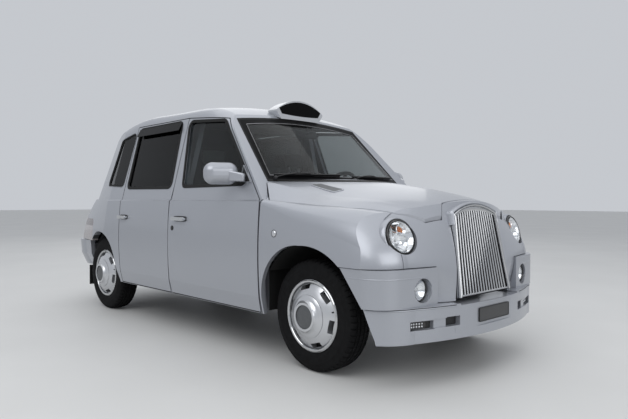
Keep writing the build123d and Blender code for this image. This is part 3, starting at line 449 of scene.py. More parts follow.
def window_seal(name, corners, body, side):
    # Flat rubber frame on the edge of a side window, standing a little proud of the skin.
    inner, outer = [grown(corners, d, WINDOW_RADIUS + d) for d in (SEAL_INNER, SEAL_OUTER)]
    out = Vector((0, 1, TUMBLEHOME)).normalized()
    verts = []
    for near, far in zip(inner, outer):
        for (x, z), height in ((near, -SEAL_DROP), (near, SEAL_RISE), (far, SEAL_RISE), (far, -SEAL_DROP)):
            p = Vector((x, skin(z), z)) + out * height
            verts.append((p.x, p.y * side, p.z))
    return new_mesh(name, verts, section_faces(len(inner), 4), RUBBER, body)


for hand, side in SIDES:
    for end, corners in (("front", FRONT_WINDOW), ("rear", REAR_WINDOW)):
        window_seal(f"seal_{end}_{hand}", corners, f"door_{end}_{hand}", side)


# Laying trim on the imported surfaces

# How far out the rays start, in metres
FAR, SIDE_FAR = 3, 1.6


def from_side(nodes, side):
    return lambda x, z: hit(nodes, (x, SIDE_FAR * side, z), (0, -side, 0))


def from_front(nodes):
    return lambda y, z: hit(nodes, (FAR, y, z), (-1, 0, 0))


def from_rear(nodes):
    return lambda y, z: hit(nodes, (-FAR, y, z), (1, 0, 0))


def from_above(nodes):
    return lambda x, y: hit(nodes, (x, y, FAR), (0, 0, -1))


def on_plane(x, way=1):
    # Stands in for a cast where the surface is an upright plane.
    return lambda y, z: (Vector((x, y, z)), Vector((way, 0, 0)), 0)


def laid(name, path, cast, rise, mat, body="body", inner=None, sink=0.001, rings=3):
    # Patch inside a closed path, or a band between two, that follows the surface and stands rise proud.
    count = len(path)
    middle = sum((Vector(p) for p in path), Vector((0, 0))) / count
    loops = []
    for r in range(rings + 1):
        share = r / rings
        if inner is None:
            loops.append([Vector(p).lerp(middle, share * 0.999) for p in path])
        else:
            loops.append([Vector(p).lerp(Vector(q), share) for p, q in zip(path, inner)])
    verts, faces, last = [], [], None
    for height in (rise, -sink):
        for loop in loops:
            for p in loop:
                found = cast(*p) or cast(*p.lerp(middle, 0.02)) or cast(*p.lerp(middle, 0.06)) or last
                last = found
                verts.append(found[0] + found[1] * height)
    deep = (rings + 1) * count
    for r in range(rings):
        for i in range(count):
            j = (i + 1) % count
            a, b, c, d = r * count + i, r * count + j, (r + 1) * count + j, (r + 1) * count + i
            faces.append((a, b, c, d))
            faces.append((deep + d, deep + c, deep + b, deep + a))
    for r in (0, rings) if inner is not None else (0,):
        for i in range(count):
            j = (i + 1) % count
            a, b = r * count + i, r * count + j
            faces.append((a, deep + a, deep + b, b))
    if inner is None:
        faces.append(tuple(range(rings * count, deep)))
        faces.append(tuple(range(deep + rings * count, 2 * deep)))
    return new_mesh(name, verts, faces, mat, body)


def oval(u, v, half_u, half_v, power=4.0, steps=40):
    # Closed path of a rounded rectangle; a higher power gives squarer corners.
    path = []
    for i in range(steps):
        a = 2 * pi * i / steps
        c, s = cos(a), sin(a)
        aside, up = abs(c) ** (2 / power), abs(s) ** (2 / power)
        path.append((u + half_u * copysign(aside, c), v + half_v * copysign(up, s)))
    return path


def facing(place, normal):
    return Matrix.Translation(place) @ normal.to_track_quat("Z", "Y").to_matrix().to_4x4()


def cap(edge, base, rise, steps=8):
    # Section of a dome from its crown out to its edge.
    radius = (edge ** 2 + rise ** 2) / (2 * rise)
    section = []
    for i in range(steps + 1):
        r = edge * i / steps
        section.append((r, base + rise - radius + sqrt(radius ** 2 - r ** 2)))
    return section


def domed(edge, base, rise, foot, steps=8):
    # Section of a solid with a domed top.
    return cap(edge, base, rise, steps) + [(edge, foot), (0, foot)]


LENS_WALL, BOWL_WALL = 0.003, 0.002


def lens(name, edge, base, rise, place, mat):
    outer = cap(edge, base, rise)
    inner = [(r, h - LENS_WALL) for r, h in reversed(outer)]
    return turned(name, outer + inner, place, mat)


def bowl(name, edge, base, depth, place, mat, flat=0.15):
    # Reflector whose section is part of a parabola, from its flat middle out to its edge.
    section = []
    for i in range(11):
        r = edge * (flat + (1 - flat) * i / 10) if i else 0.0
        section.append((r, base - depth * (1 - (r / edge) ** 2)))
    back = [(r, h - BOWL_WALL) for r, h in reversed(section)]
    return turned(name, section + back, place, mat)


def ring(name, inner, outer, low, high, place, mat, body="body", soft=0.001):
    # Flat ring whose upper edges are cut back by soft.
    profile = [(inner, low), (outer, low), (outer, high - soft), (outer - soft, high), (inner + soft, high)]
    return turned(name, profile + [(inner, high - soft)], place, mat, body)


# Headlamps and fog lamps: sizes are radii and heights along each lamp's axis

HEADLAMP_AT, HEADLAMP_TURN, HEADLAMP_LEAN = (2.061, 0.638, 0.838), 8, 73
FOG_LAMP_AT = (2.105, 0.566, 0.545)
MAIN_BEAM_AT, INDICATOR_AT = (0.026, 0.006), (-0.042, -0.018)
COLLAR = [(0.1075, -0.045), (0.127, -0.045), (0.124, -0.022), (0.1165, -0.004), (0.1105, 0.0015),
          (0.1075, 0.001)]
BEZEL = [(0.1035, -0.03), (0.1035, 0.0055), (0.101, 0.0095), (0.095, 0.0115), (0.095, 0.0085),
         (0.093, -0.03)]
CAN = [(0.0925, -0.002), (0.0955, -0.002), (0.0955, -0.057), (0, -0.057), (0, -0.054), (0.0925, -0.054)]


def turned_to(place, side, *turns):
    # Place on one side, then turned about axes by degrees.
    at = Matrix.Translation((place[0], place[1] * side, place[2]))
    for degrees, axis in turns:
        at = at @ Matrix.Rotation(radians(degrees), 4, axis)
    return at


for hand, side in SIDES:
    at = turned_to(HEADLAMP_AT, side, (HEADLAMP_TURN * side, "Z"), (HEADLAMP_LEAN, "Y"))
    bowls = bowl(f"headlamp_bowl_{hand}", 0.0915, 0.006, 0.05, at, CHROME, flat=0.1)
    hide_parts("headlamps")
    lens(f"headlamp_lens_{hand}", 0.092, 0.01, 0.0198, at, LENS)
    turned(f"headlamp_collar_{hand}", COLLAR, at, PAINT, angle=60)
    ring(f"headlamp_gasket_{hand}", 0.1035, 0.108, -0.03, 0.0045, at, RUBBER)
    turned(f"headlamp_bezel_{hand}", BEZEL, at, GLOSS_BLACK)
    ring(f"headlamp_lens_seal_{hand}", 0.0905, 0.0952, 0.007, 0.0132, at, RUBBER)
    turned(f"headlamp_can_{hand}", CAN, at, BLACK)
    low, high = [at @ Matrix.Translation((x, y * side, 0)) for x, y in (MAIN_BEAM_AT, INDICATOR_AT)]
    bowl(f"main_beam_bowl_{hand}", 0.052, 0.0, 0.03, low, CHROME)
    ring(f"main_beam_rim_{hand}", 0.0505, 0.0555, -0.006, 0.0025, low, CHROME)
    turned(f"main_beam_bulb_{hand}", domed(0.013, -0.022, 0.012, -0.03), low, SATIN)
    bowl(f"indicator_bowl_{hand}", 0.032, 0.0, 0.02, high, CHROME)
    ring(f"indicator_rim_{hand}", 0.031, 0.0345, -0.006, 0.0015, high, CHROME)
    turned(f"indicator_bulb_{hand}", domed(0.021, -0.012, 0.014, -0.018), high, AMBER)

for hand, side in SIDES:
    at = turned_to(FOG_LAMP_AT, side, (90, "Y"))
    bowls = bowl(f"fog_lamp_bowl_{hand}", 0.058, 0.03, 0.026, at, CHROME)
    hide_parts("fog_lamps")
    lens(f"fog_lamp_lens_{hand}", 0.059, 0.034, 0.0105, at, LENS)
    # Gloss black lining and rim in the lamp's body-coloured hole: painted shade for the recess.
    ring(f"fog_lamp_rim_{hand}", 0.0575, 0.0675, 0.001, 0.0385, at, GLOSS_BLACK, soft=0.003)
    turned(f"fog_lamp_bulb_{hand}", domed(0.013, 0.01, 0.012, 0.006), at, SATIN)
    # Near-black disc behind the lamp: painted shade at the back of its hole.
    turned(f"fog_lamp_back_{hand}", [(0, 0), (0.067, 0), (0.067, 0.003), (0, 0.003)], at, SEAM_AND_SHADE)


# Grille, bumper pockets, day lamps and the blank front plate

GRILLE_FOOT_Z, GRILLE_HEAD_Z, GRILLE_CROWN = 0.47, 0.975, 0.054
GRILLE_HALF_FOOT, GRILLE_HALF_HEAD = 0.298, 0.246
GRILLE_FACE_FOOT, GRILLE_FACE_HEAD = 2.233, 2.15
LEAN = Vector((0.505, 0, 0.083)).normalized()
HEADER_LOW_Z, HEADER_RISE, HEADER_BULGE, HEADER_THICK = 0.948, 0.034, 0.009, 0.006
BARS_EACH_SIDE, BAR_FOOT_Z, BAR_SPREAD = 8, 0.488, 8.9
PLATE_X, PLATE_Z = 2.276, 0.3745


def grille_edge(z, inset):
    # Half width and face of the grille at a height.
    share = (z - GRILLE_FOOT_Z) / (GRILLE_HEAD_Z - GRILLE_FOOT_Z)
    half = GRILLE_HALF_FOOT + (GRILLE_HALF_HEAD - GRILLE_HALF_FOOT) * share - inset
    return half, GRILLE_FACE_FOOT + (GRILLE_FACE_HEAD - GRILLE_FACE_FOOT) * share


def head_z(y, inset):
    # Height of the arched head at a width.
    half = grille_edge(GRILLE_HEAD_Z, inset)[0]
    return GRILLE_HEAD_Z - inset * 0.9 + GRILLE_CROWN * (1 - min(1.0, (y / half) ** 2))


def grille_path(inset, start=0.472, steps=14, lift=0.0):
    # Up the right side, over the head and down the left side.
    top = GRILLE_HEAD_Z - inset * 0.9
    half_low, half_high = grille_edge(start, inset)[0], grille_edge(top, inset)[0]
    path = along((-half_low, start), (-half_high, top), steps)[:-1]
    for i in range(2 * steps + 1):
        y = -half_high + 2 * half_high * i / (2 * steps)
        path.append((y, top + GRILLE_CROWN * (1 - (y / half_high) ** 2)))
    path += along((half_high, top), (half_low, start), steps)[1:]
    return [Vector((grille_edge(z, 0)[1] + lift, y, z)) for y, z in path]


def rounded_strip(half, low, high, steps=8):
    # Half-round section, flat behind.
    section = [(-half, low), (half, low)]
    for i in range(steps + 1):
        a = pi * i / steps
        section.append((half * cos(a), low + (high - low) * (0.35 + 0.65 * sin(a))))
    return section


def tapered(half_low, low, half_high, high):
    # Four-sided section, narrower or as wide at its top.
    return [(-half_low, low), (half_low, low), (half_high, high), (-half_high, high)]


# Near-black sheet behind the bars: painted shade of the space behind the grille.
back_path = [p + Vector((-0.027, 0, 0)) for p in grille_path(0.001)]
slab("grille_shade_back", back_path, (-0.004, 0, 0), SEAM_AND_SHADE)
edge_path = grille_path(0.013, 0.482)
frame_strip = rounded_strip(0.0075, -0.03, 0.0035)
frame_piece = sweep("grille_frame", edge_path, [LEAN] * len(edge_path), frame_strip, SHADED_CHROME)
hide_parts("grille")
hood_path = grille_path(0.001, 0.9, lift=-0.012)
sweep("grille_hood", hood_path, [LEAN] * len(hood_path), rounded_strip(0.011, -0.04, 0.0125), PAINT)

# Bulged plate between the bars and the head of the grille
rows, wide = 33, 7
verts = []
for i in range(rows):
    t = 2 * i / (rows - 1) - 1
    y = t * grille_edge(0.955, 0.02)[0]
    low = HEADER_LOW_Z + HEADER_RISE * (1 - t * t)
    top = head_z(y, 0.018)
    for k in range(wide):
        z = low + (top - low) * k / (wide - 1)
        bulge = HEADER_BULGE * sin(pi * k / (wide - 1))
        verts.append(Vector((grille_edge(z, 0)[1] - 0.014, y, z)) + LEAN * bulge)
count = len(verts)
verts += [v - LEAN * HEADER_THICK for v in verts]
faces = []
for foot in range(0, count - wide, wide):
    head = foot + wide - 1
    for a in range(foot, head):
        b, c, d = a + 1, a + wide + 1, a + wide
        faces += [(a, b, c, d), (a + count, d + count, c + count, b + count)]
    faces.append((foot, foot + wide, foot + wide + count, foot + count))
    faces.append((head, head + count, head + wide + count, head + wide))
for foot in (0, count - wide):
    faces += [(a, a + 1, a + 1 + count, a + count) for a in range(foot, foot + wide - 1)]
new_mesh("grille_header", verts, faces, SHADED_CHROME)

bar_strip = rounded_strip(0.0056, -0.003, 0.0105)
for k in range(-BARS_EACH_SIDE, BARS_EACH_SIDE + 1):
    share = k / BAR_SPREAD
    head = HEADER_LOW_Z + HEADER_RISE * (1 - share * share) + 0.008
    points = []
    for i in range(9):
        z = BAR_FOOT_Z + (head - BAR_FOOT_Z) * i / 8
        half, x = grille_edge(z, 0.02)
        points.append(Vector((x - 0.022, half * share, z)))
    sweep(f"grille_bar_{k + 9}", points, [LEAN] * 9, bar_strip, SHADED_CHROME)
half, x = grille_edge(0.485, 0.02)
rail = [(x - 0.016, -half, 0.486), (x - 0.016, half, 0.486)]
tube("grille_foot_rail", rail, 0.006, SHADED_CHROME, sides=14)

# Name, nearest and furthest width, lowest and highest height
POCKETS = (("inner", 0.336, 0.436, 0.338, 0.392), ("outer", 0.52, 0.676, 0.334, 0.384))
cast = from_front(["front_bumper"])
for hand, side in SIDES:
    for name, y0, y1, z0, z1 in POCKETS:
        # Black sheet laid on the back of each bumper pocket: painted shade in the pocket's hollow.
        path = oval((y0 + y1) / 2 * side, (z0 + z1) / 2, (y1 - y0) / 2 - 0.001, (z1 - z0) / 2 - 0.001, 14, 48)
        laid(f"bumper_pocket_{name}_{hand}", path, cast, 0.001, BLACK, sink=0.002)
    cluster = oval(0.614 * side, 0.359, 0.056, 0.021, 3.0)
    laid(f"day_lamp_{hand}", cluster, cast, 0.012, GLOSS_BLACK)
    for row in range(2):
        for col in range(5):
            found = cast((0.58 + 0.017 * col) * side, 0.351 + 0.016 * row)
            at = facing(found[0] + found[1] * 0.011, found[1])
            dot = domed(0.0062, 0.0005, 0.0035, 0, 4)
            turned(f"day_lamp_{hand}_{row}_{col}", dot, at, SATIN, sides=16)

laid("front_plate", oval(0, PLATE_Z, 0.172, 0.0415, 24, 64), on_plane(PLATE_X), 0.006, PLATE, sink=-0.0003)
laid("front_plate_frame", oval(0, PLATE_Z, 0.1725, 0.042, 24, 64), on_plane(PLATE_X), 0.0075, BLACK,
     inner=oval(0, PLATE_Z, 0.1675, 0.037, 24, 64), sink=-0.0003, rings=1)


# Windscreen border, wipers and inner mirror

def screen_path(inset, steps=12, more=0.0):
    foot_z, head_z = 1.176 + inset, 1.65 - inset
    foot_y, head_y = 0.705 - inset, 0.63 - inset * 0.7 - more
    crest = 1.692 - inset
    path = along((-foot_y, foot_z), (foot_y, foot_z), 2 * steps)[:-1]
    path += along((foot_y, foot_z), (head_y, head_z), steps)[:-1]
    bow = crest - head_z
    for i in range(2 * steps):
        y = head_y - 2 * head_y * i / (2 * steps)
        path.append((y, head_z + bow * (1 - (y / head_y) ** 2)))
    return path + along((-head_y, head_z), (-foot_y, foot_z), steps)[:-1]


SCREEN = from_front(["windscreen"])
laid("windscreen_border", screen_path(0.0015), SCREEN, 0.0015, FRIT,
     inner=screen_path(0.04, more=0.022), sink=0.0005)
laid("windscreen_bead", screen_path(0.0385, more=0.022), SCREEN, 0.003, STEEL,
     inner=screen_path(0.0415, more=0.022), sink=0.0005, rings=1)
laid("windscreen_seal", screen_path(-0.004), from_front(["windscreen", "body_shell", "bonnet"]), 0.0022,
     RUBBER, inner=screen_path(0.012), sink=0.0005)

WIPER_PIVOT = [(0, 0), (0.016, 0), (0.015, 0.014), (0.01, 0.022), (0, 0.022)]
for name, start, end in (("right", -0.64, -0.075), ("left", 0.05, 0.62)):
    blade, ups = [], []
    for i in range(13):
        y = start + (end - start) * i / 12
        place, normal, _ = SCREEN(y, 1.212 + 0.008 * i / 12)
        blade.append(place + normal * 0.004)
        ups.append(normal)
    sweep(f"wiper_rubber_{name}", blade, ups, tapered(0.003, -0.002, 0.002, 0.01), RUBBER)
    spine = [p + n * 0.013 for p, n in zip(blade, ups)]
    sweep(f"wiper_blade_{name}", spine, ups, tapered(0.006, -0.003, 0.004, 0.004), BLACK)
    place, normal, _ = SCREEN(start - 0.005, 1.19)
    pivot = place + normal * 0.003
    turned(f"wiper_pivot_{name}", WIPER_PIVOT, facing(pivot, normal), BLACK, sides=24)
    arm = [pivot + normal * 0.016, pivot.lerp(spine[3], 0.5) + ups[1] * 0.018]
    arm += [spine[4] + ups[4] * 0.014, spine[6] + ups[6] * 0.008]
    arm_ups = [normal, ups[1], ups[4], ups[6]]
    sweep(f"wiper_arm_{name}", arm, arm_ups, tapered(0.0045, -0.002, 0.003, 0.003), BLACK)

place, normal, _ = SCREEN(0, 1.59)
eye = place - normal * 0.075
box_piece("inner_mirror", (eye.x - 0.016, -0.125, 1.545), (eye.x + 0.014, 0.125, 1.61), BLACK, 0.012)
box_piece("inner_mirror_glass", (eye.x - 0.0175, -0.118, 1.551), (eye.x - 0.0155, 0.118, 1.604), MIRROR,
          0.001)
stalk = [place - normal * 0.008, place - normal * 0.03, Vector((eye.x + 0.01, 0, 1.59))]
tube("inner_mirror_stalk", stalk, 0.007, BLACK)


# Side trim

DOOR_LOCK = [(0, -0.001), (0.017, -0.001), (0.017, 0.002), (0.014, 0.005), (0, 0.005)]
DEFLECTOR = ((-0.858, 1.68, 0.003), (-0.136, 1.682, 0.003), (-0.134, 1.612, 0.022), (-0.858, 1.61, 0.022))
MIRROR_ARM = ((0.905, 0.838, 1.168), (0.905, 0.838, 1.222), (0.815, 0.9, 1.247), (0.815, 0.9, 1.172))
MIRROR_FOOT = ((0.951, 1.17), (0.85, 1.17), (0.845, 1.185), (0.845, 1.276))
MIRROR_AT, MIRROR_TURN = (0.76, 0.941, 1.225), 27
# Name, half width, half height, near and far face, material
MIRROR_LAYERS = (
    ("case", 0.101, 0.06, -0.0335, -0.0365, BLACK),
    ("glass", 0.096, 0.055, -0.036, -0.0375, MIRROR),
)

for hand, side in SIDES:
    door = {"front": f"door_front_{hand}", "rear": f"door_rear_{hand}"}
    for end, x, z, length in (("front", 0.135, 0.9, 0.18), ("rear", -0.815, 0.893, 0.14)):
        cast = from_side([door[end]], side)
        pan = oval(x, z, length / 2 + 0.004, 0.021, 5)
        laid(f"handle_pan_{end}_{hand}", pan, cast, 0.0012, BLACK, door[end])
        wear(NODES[f"handle_{end}_{hand}"], CHROME)
    found = from_side([door["front"]], side)(0.022, 0.826)
    at = facing(found[0], found[1])
    turned(f"door_lock_{hand}", DOOR_LOCK, at, BLACK, door["front"], sides=32)
    ring(f"door_lock_rim_{hand}", 0.0165, 0.0195, -0.001, 0.0022, at, RUBBER, door["front"], soft=0.0005)
    found = from_side([f"wing_{hand}"], side)(1.26, 0.835)
    at = facing(found[0], found[1])
    turned(f"side_repeater_{hand}", domed(0.021, 0.001, 0.008, -0.001), at, SATIN, sides=36)
    ring(f"side_repeater_rim_{hand}", 0.0205, 0.0235, -0.001, 0.0022, at, BLACK, soft=0.0005)
    # Rain deflector along the head of the rear door's window
    corners = [(x, (skin(z) + out) * side, z) for x, z, out in DEFLECTOR]
    slab(f"rain_deflector_{hand}", corners, (0, 0.0025 * side, 0.0006), SMOKE, door["rear"], 0.001)
    # Quarter window seal
    cast = from_side(["body_shell", "rear_glass"], side)
    outer = grown(QUARTER_WINDOW, 0.004, 0.049)
    inner = grown(QUARTER_WINDOW, -0.016, 0.029)
    laid(f"seal_quarter_{hand}", outer, cast, 0.002, RUBBER, inner=inner, sink=0.0005)


def mirror_point(x, y, z, side):
    # Point in a mirror head's own frame, which is turned outwards.
    c, s = cos(radians(MIRROR_TURN)), sin(radians(MIRROR_TURN))
    x0, y0, z0 = MIRROR_AT
    return Vector((x0 + x * c - y * s, (y0 + x * s + y * c) * side, z0 + z))


for hand, side in SIDES:
    door = f"door_front_{hand}"
    for name, half_y, half_z, near, far, mat in MIRROR_LAYERS:
        corners = [mirror_point(near, y, z, side) for y, z in oval(0, 0, half_y, half_z, 3.2, 48)]
        deep = mirror_point(far, 0, 0, side) - mirror_point(near, 0, 0, side)
        slab(f"mirror_{name}_{hand}", corners, deep, mat, door, 0.0004, 1)
    corners = [(x, y * side, z) for x, y, z in MIRROR_ARM]
    slab(f"mirror_arm_{hand}", corners, (0.022, 0.032 * side, 0), PAINT, door, 0.011, 4)
    corners = [(x, (skin(z) + 0.012) * side, z) for x, z in MIRROR_FOOT]
    slab(f"mirror_foot_{hand}", corners, (0, 0.002 * side, 0), BLACK, door, 0.0006, 1)


def round_front(node, z, start, end, steps):
    # Points and ways out along a bumper at a height, between two bearings from its middle.
    points, ups = [], []
    for i in range(steps + 1):
        angle = radians(start + (end - start) * i / steps)
        way = Vector((cos(angle), sin(angle), 0))
        found = hit([node], Vector((BUMPER_MIDDLE_X, 0, z)) + way * FAR, -way)
        if found:
            points.append(found[0])
            ups.append(found[1])
    return points, ups


BUMPER_MIDDLE_X, BUMPER_END_BEARING = 1.62, 76
# Name, height, first bearing, steps, section, material
BUMPER_LINES = (
    ("groove", 0.4535, 30, 48, tapered(0.0016, -0.003, 0.0016, 0.0007), SEAM_AND_SHADE),
    ("lip", 0.4475, 30, 48, rounded_strip(0.004, -0.003, 0.0028), PAINT),
    ("crease", 0.618, 44, 40, rounded_strip(0.004, -0.003, 0.0016), PAINT),
)
for hand, side in SIDES:
    for name, z, start, steps, section, mat in BUMPER_LINES:
        points, ups = round_front("front_bumper", z, start * side, BUMPER_END_BEARING * side, steps)
        sweep(f"front_bumper_{name}_{hand}", points, ups, section, mat)

# Near-black plate at the back of each front wheel arch: painted shade inside the arch.
for hand, side in SIDES:
    near, far = sorted((0.6 * side, 0.79 * side))
    box_piece(f"arch_shield_{hand}", (1.1004, near, 0.318), (1.1034, far, 0.64), SEAM_AND_SHADE, 0.001)

REAR = from_rear(["rear_glass"])
corners = [(-0.6, 1.205), (0.6, 1.205), (0.5, 1.6), (-0.5, 1.6)]
laid("rear_window_border", grown(corners, -0.002, 0.058), REAR, 0.0015, GLOSS_BLACK,
     inner=grown(corners, -0.034, 0.034), sink=0.0005)
laid("rear_window_seal", grown(corners, 0.008, 0.068), from_rear(["rear_glass", "body_shell"]),
     0.0022, RUBBER, inner=grown(corners, -0.008, 0.054), sink=0.0005)


# Tyres with tread, and the trim of the wheels; half a tyre's section in millimetres, as (radius, aside)

TREAD = [(343, 0), (343, 13.5), (335.5, 15), (335.5, 21), (342.8, 22.5), (342.2, 41), (334.8, 42.5),
         (334.8, 48), (341.6, 49.5)]
SHOULDER = [(339.5, 61), (336, 70), (330.5, 77)]
WALL = [(323, 82), (316, 84.3), (300, 88.4), (287, 90.6), (286, 91.5), (281, 91.8), (280, 91), (262, 91.7),
        (240, 90), (228, 86.8), (226.5, 88.2), (223.5, 87.8), (220.5, 84), (213, 79), (207, 73), (203.4, 66)]
TREAD_BLOCKS, BLOCK_SHARES, BLOCK_SHIFT = 56, (0.0, 0.07, 0.19, 0.26), 0.35
SHOULDER_CUT, TREAD_CUT = 5.5, 2.5
VALVE = [(0, 0.052), (0.0045, 0.052), (0.0045, 0.088), (0.0035, 0.094), (0, 0.094)]


def tread_tyre(name, centre, side, body):
    # Each block has four rows of points, of which the middle two are cut down to make its groove.
    half = TREAD + SHOULDER + WALL
    section = [(r, -h) for r, h in half[:0:-1]] + half
    verts = []
    for i in range(TREAD_BLOCKS):
        for k, share in enumerate(BLOCK_SHARES):
            for r, h in section:
                turn = 2 * pi * (i + share + (BLOCK_SHIFT if h < -15 else 0.0)) / TREAD_BLOCKS
                if k in (1, 2) and 49 < abs(h) < 78:
                    r -= SHOULDER_CUT
                elif k in (1, 2) and (abs(h) < 14 or 22 < abs(h) < 42):
                    r -= TREAD_CUT
                away = Vector((cos(turn), 0, sin(turn))) * (r / 1000)
                verts.append(centre + away + Vector((0, h * side / 1000, 0)))
    faces = section_faces(TREAD_BLOCKS * len(BLOCK_SHARES), len(section))
    tyre = new_mesh(name, verts, faces, TYRE, body, angle=32)
    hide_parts(name.replace("tread", "tyre"))


for hand, side in SIDES:
    for end in ("front", "rear"):
        body = f"wheel_{end}_{hand}"
        low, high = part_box(f"tyre_{end}_{hand}")
        centre = Vector([(a + b) / 2 for a, b in zip(low, high)])
        tread_tyre(f"tread_{end}_{hand}", centre, side, body)
        at = Matrix.Translation(centre) @ Matrix.Rotation(radians(-90 * side), 4, "X")
        ring(f"rim_flange_{end}_{hand}", 0.2005, 0.2185, 0.078, 0.0905, at, SHADED_CHROME, body, soft=0.004)
        # Dark grey flat ring in place of the groove round the rim: painted shade of the groove.
        ring(f"rim_groove_{end}_{hand}", 0.195, 0.2003, 0.07, 0.08, at, HUB, body)
        # Near-black ring set deep inside the wheel: painted shade in the wheel's hollow.
        ring(f"wheel_dark_{end}_{hand}", 0.156, 0.2, 0.048, 0.05, at, SEAM_AND_SHADE, body, soft=0.0005)
        turned(f"hub_cap_{end}_{hand}", domed(0.0705, 0.143, 0.0035, 0.141), at, CAP, body)
        ring(f"hub_cap_seam_{end}_{hand}", 0.07, 0.0722, 0.1405, 0.1436, at, SEAM_AND_SHADE, body, soft=0.0003)
        stem = at @ Matrix.Rotation(radians(14), 4, "Z") @ Matrix.Translation((0.19, 0, 0))
        turned(f"valve_{end}_{hand}", VALVE, stem, RUBBER, body, sides=12)


# Padded seats

PADS = []
PAD_SHRINK = 0.006
PAD_PRESSURE = 4
CLOTH_FRAMES = 16


def pad(name, side_view, y0, y1, mat=CLOTH, node=None, soft=0.035, voxel=0.014, cap_move=0.026):
    # Cushion from a side view between two widths; remeshed here, swelled and sewn further down.
    mid = Vector([sum(c[k] for c in side_view) / len(side_view) for k in (0, 1)])
    corners = [Vector(c) + (mid - Vector(c)).normalized() * PAD_SHRINK * 1.4 for c in side_view]
    corners = [(x, y0 + PAD_SHRINK, z) for x, z in corners]
    obj = slab(name, corners, (0, y1 - y0 - 2 * PAD_SHRINK, 0), mat, soft=soft)
    remesh = obj.modifiers.new("even", "REMESH")
    remesh.mode = "VOXEL"
    remesh.voxel_size = voxel
    remesh.use_smooth_shade = True
    smooth = obj.modifiers.new("soften", "SMOOTH")
    smooth.iterations = 4
    solid = bpy.data.meshes.new_from_object(obj.evaluated_get(bpy.context.evaluated_depsgraph_get()))
    obj.modifiers.clear()
    obj.data = solid
    wear(obj, mat)
    if node:
        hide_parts(node)
    PADS.append((obj, cap_move, [v.co.copy() for v in solid.vertices]))
    return obj


def swell():
    # One cloth run for every cushion, with its result applied to the meshes.
    for obj, _, _ in PADS:
        cloth = obj.modifiers.new("swell", "CLOTH")
        cloth.settings.quality = 3
        cloth.settings.mass = 0.3
        cloth.settings.use_pressure = True
        cloth.settings.uniform_pressure_force = PAD_PRESSURE
        cloth.settings.effector_weights.gravity = 0
        cloth.collision_settings.use_collision = False
        cloth.point_cache.frame_end = 20
    for f in range(1, CLOTH_FRAMES + 1):
        bpy.context.scene.frame_set(f)
    graph = bpy.context.evaluated_depsgraph_get()
    for obj, cap_move, rest in PADS:
        moved = [v.co.copy() for v in obj.evaluated_get(graph).data.vertices]
        obj.modifiers.clear()
        for v, old, new in zip(obj.data.vertices, rest, moved):
            step = new - old
            v.co = old + (step * (cap_move / step.length) if step.length > cap_move else step)
        obj.data.update()
    bpy.context.scene.frame_set(1)
    for obj, _, _ in PADS:
        obj.data.shade_smooth()
        finer = obj.modifiers.new("finer", "SUBSURF")
        finer.levels = finer.render_levels = 1


def sewn(name, obj, corners, thick=0.0035, corner=0.04, between=10):
    # Piping laid onto a cushion along a rounded loop through four points near it.
    surface = BVHTree.FromObject(obj, bpy.context.evaluated_depsgraph_get())
    points, ups = [], []
    for p in rounded(corners, corner, 6, between):
        place, normal, _, _ = surface.find_nearest(p)
        if not points or (place - points[-1]).length > 0.004:
            points.append(place + normal * 0.0005)
            ups.append(normal)
    sweep(name, points, ups, circle(thick, 8), PIPING, closed=True)


driver_base = pad("driver_cushion", [(0.1, 0.59), (0.56, 0.6), (0.562, 0.78), (0.1, 0.765)],
                  0.126, 0.614, node="driver_seat", soft=0.045)
driver_back = pad("driver_backrest", [(0.112, 0.745), (0.205, 0.745), (0.088, 1.302), (-0.004, 1.302)],
                  0.136, 0.604)
driver_head = pad("driver_headrest", [(-0.003, 1.338), (0.073, 1.338), (0.073, 1.472), (-0.003, 1.472)],
                  0.253, 0.487, soft=0.03, voxel=0.009, cap_move=0.012)
bench_base = pad("rear_cushion", [(-1.414, 0.6), (-0.966, 0.59), (-0.966, 0.752), (-1.414, 0.735)],
                 -0.534, 0.534, node="rear_bench", soft=0.045)
bench_back = pad("rear_backrest", [(-1.404, 0.725), (-1.298, 0.725), (-1.405, 1.284), (-1.494, 1.284)],
                 -0.534, 0.534)
tip_pads = []
for hand, side in SIDES:
    low, high = sorted((0.194 * side, 0.586 * side))
    side_view = [(-0.171, 0.606), (-0.106, 0.606), (-0.106, 1.144), (-0.171, 1.144)]
    node = "tip_up_seats" if side == 1 else None
    tip_pads.append(pad(f"tip_up_backrest_{hand}", side_view, low, high, node=node, soft=0.022, voxel=0.013,
                        cap_move=0.014))
    low, high = sorted((0.273 * side, 0.507 * side))
    side_view = [(-0.167, 1.338), (-0.108, 1.338), (-0.108, 1.477), (-0.167, 1.477)]
    mat = COVER if side == -1 else CLOTH
    pad(f"tip_up_headrest_{hand}", side_view, low, high, mat, soft=0.024, voxel=0.009, cap_move=0.01)
swell()

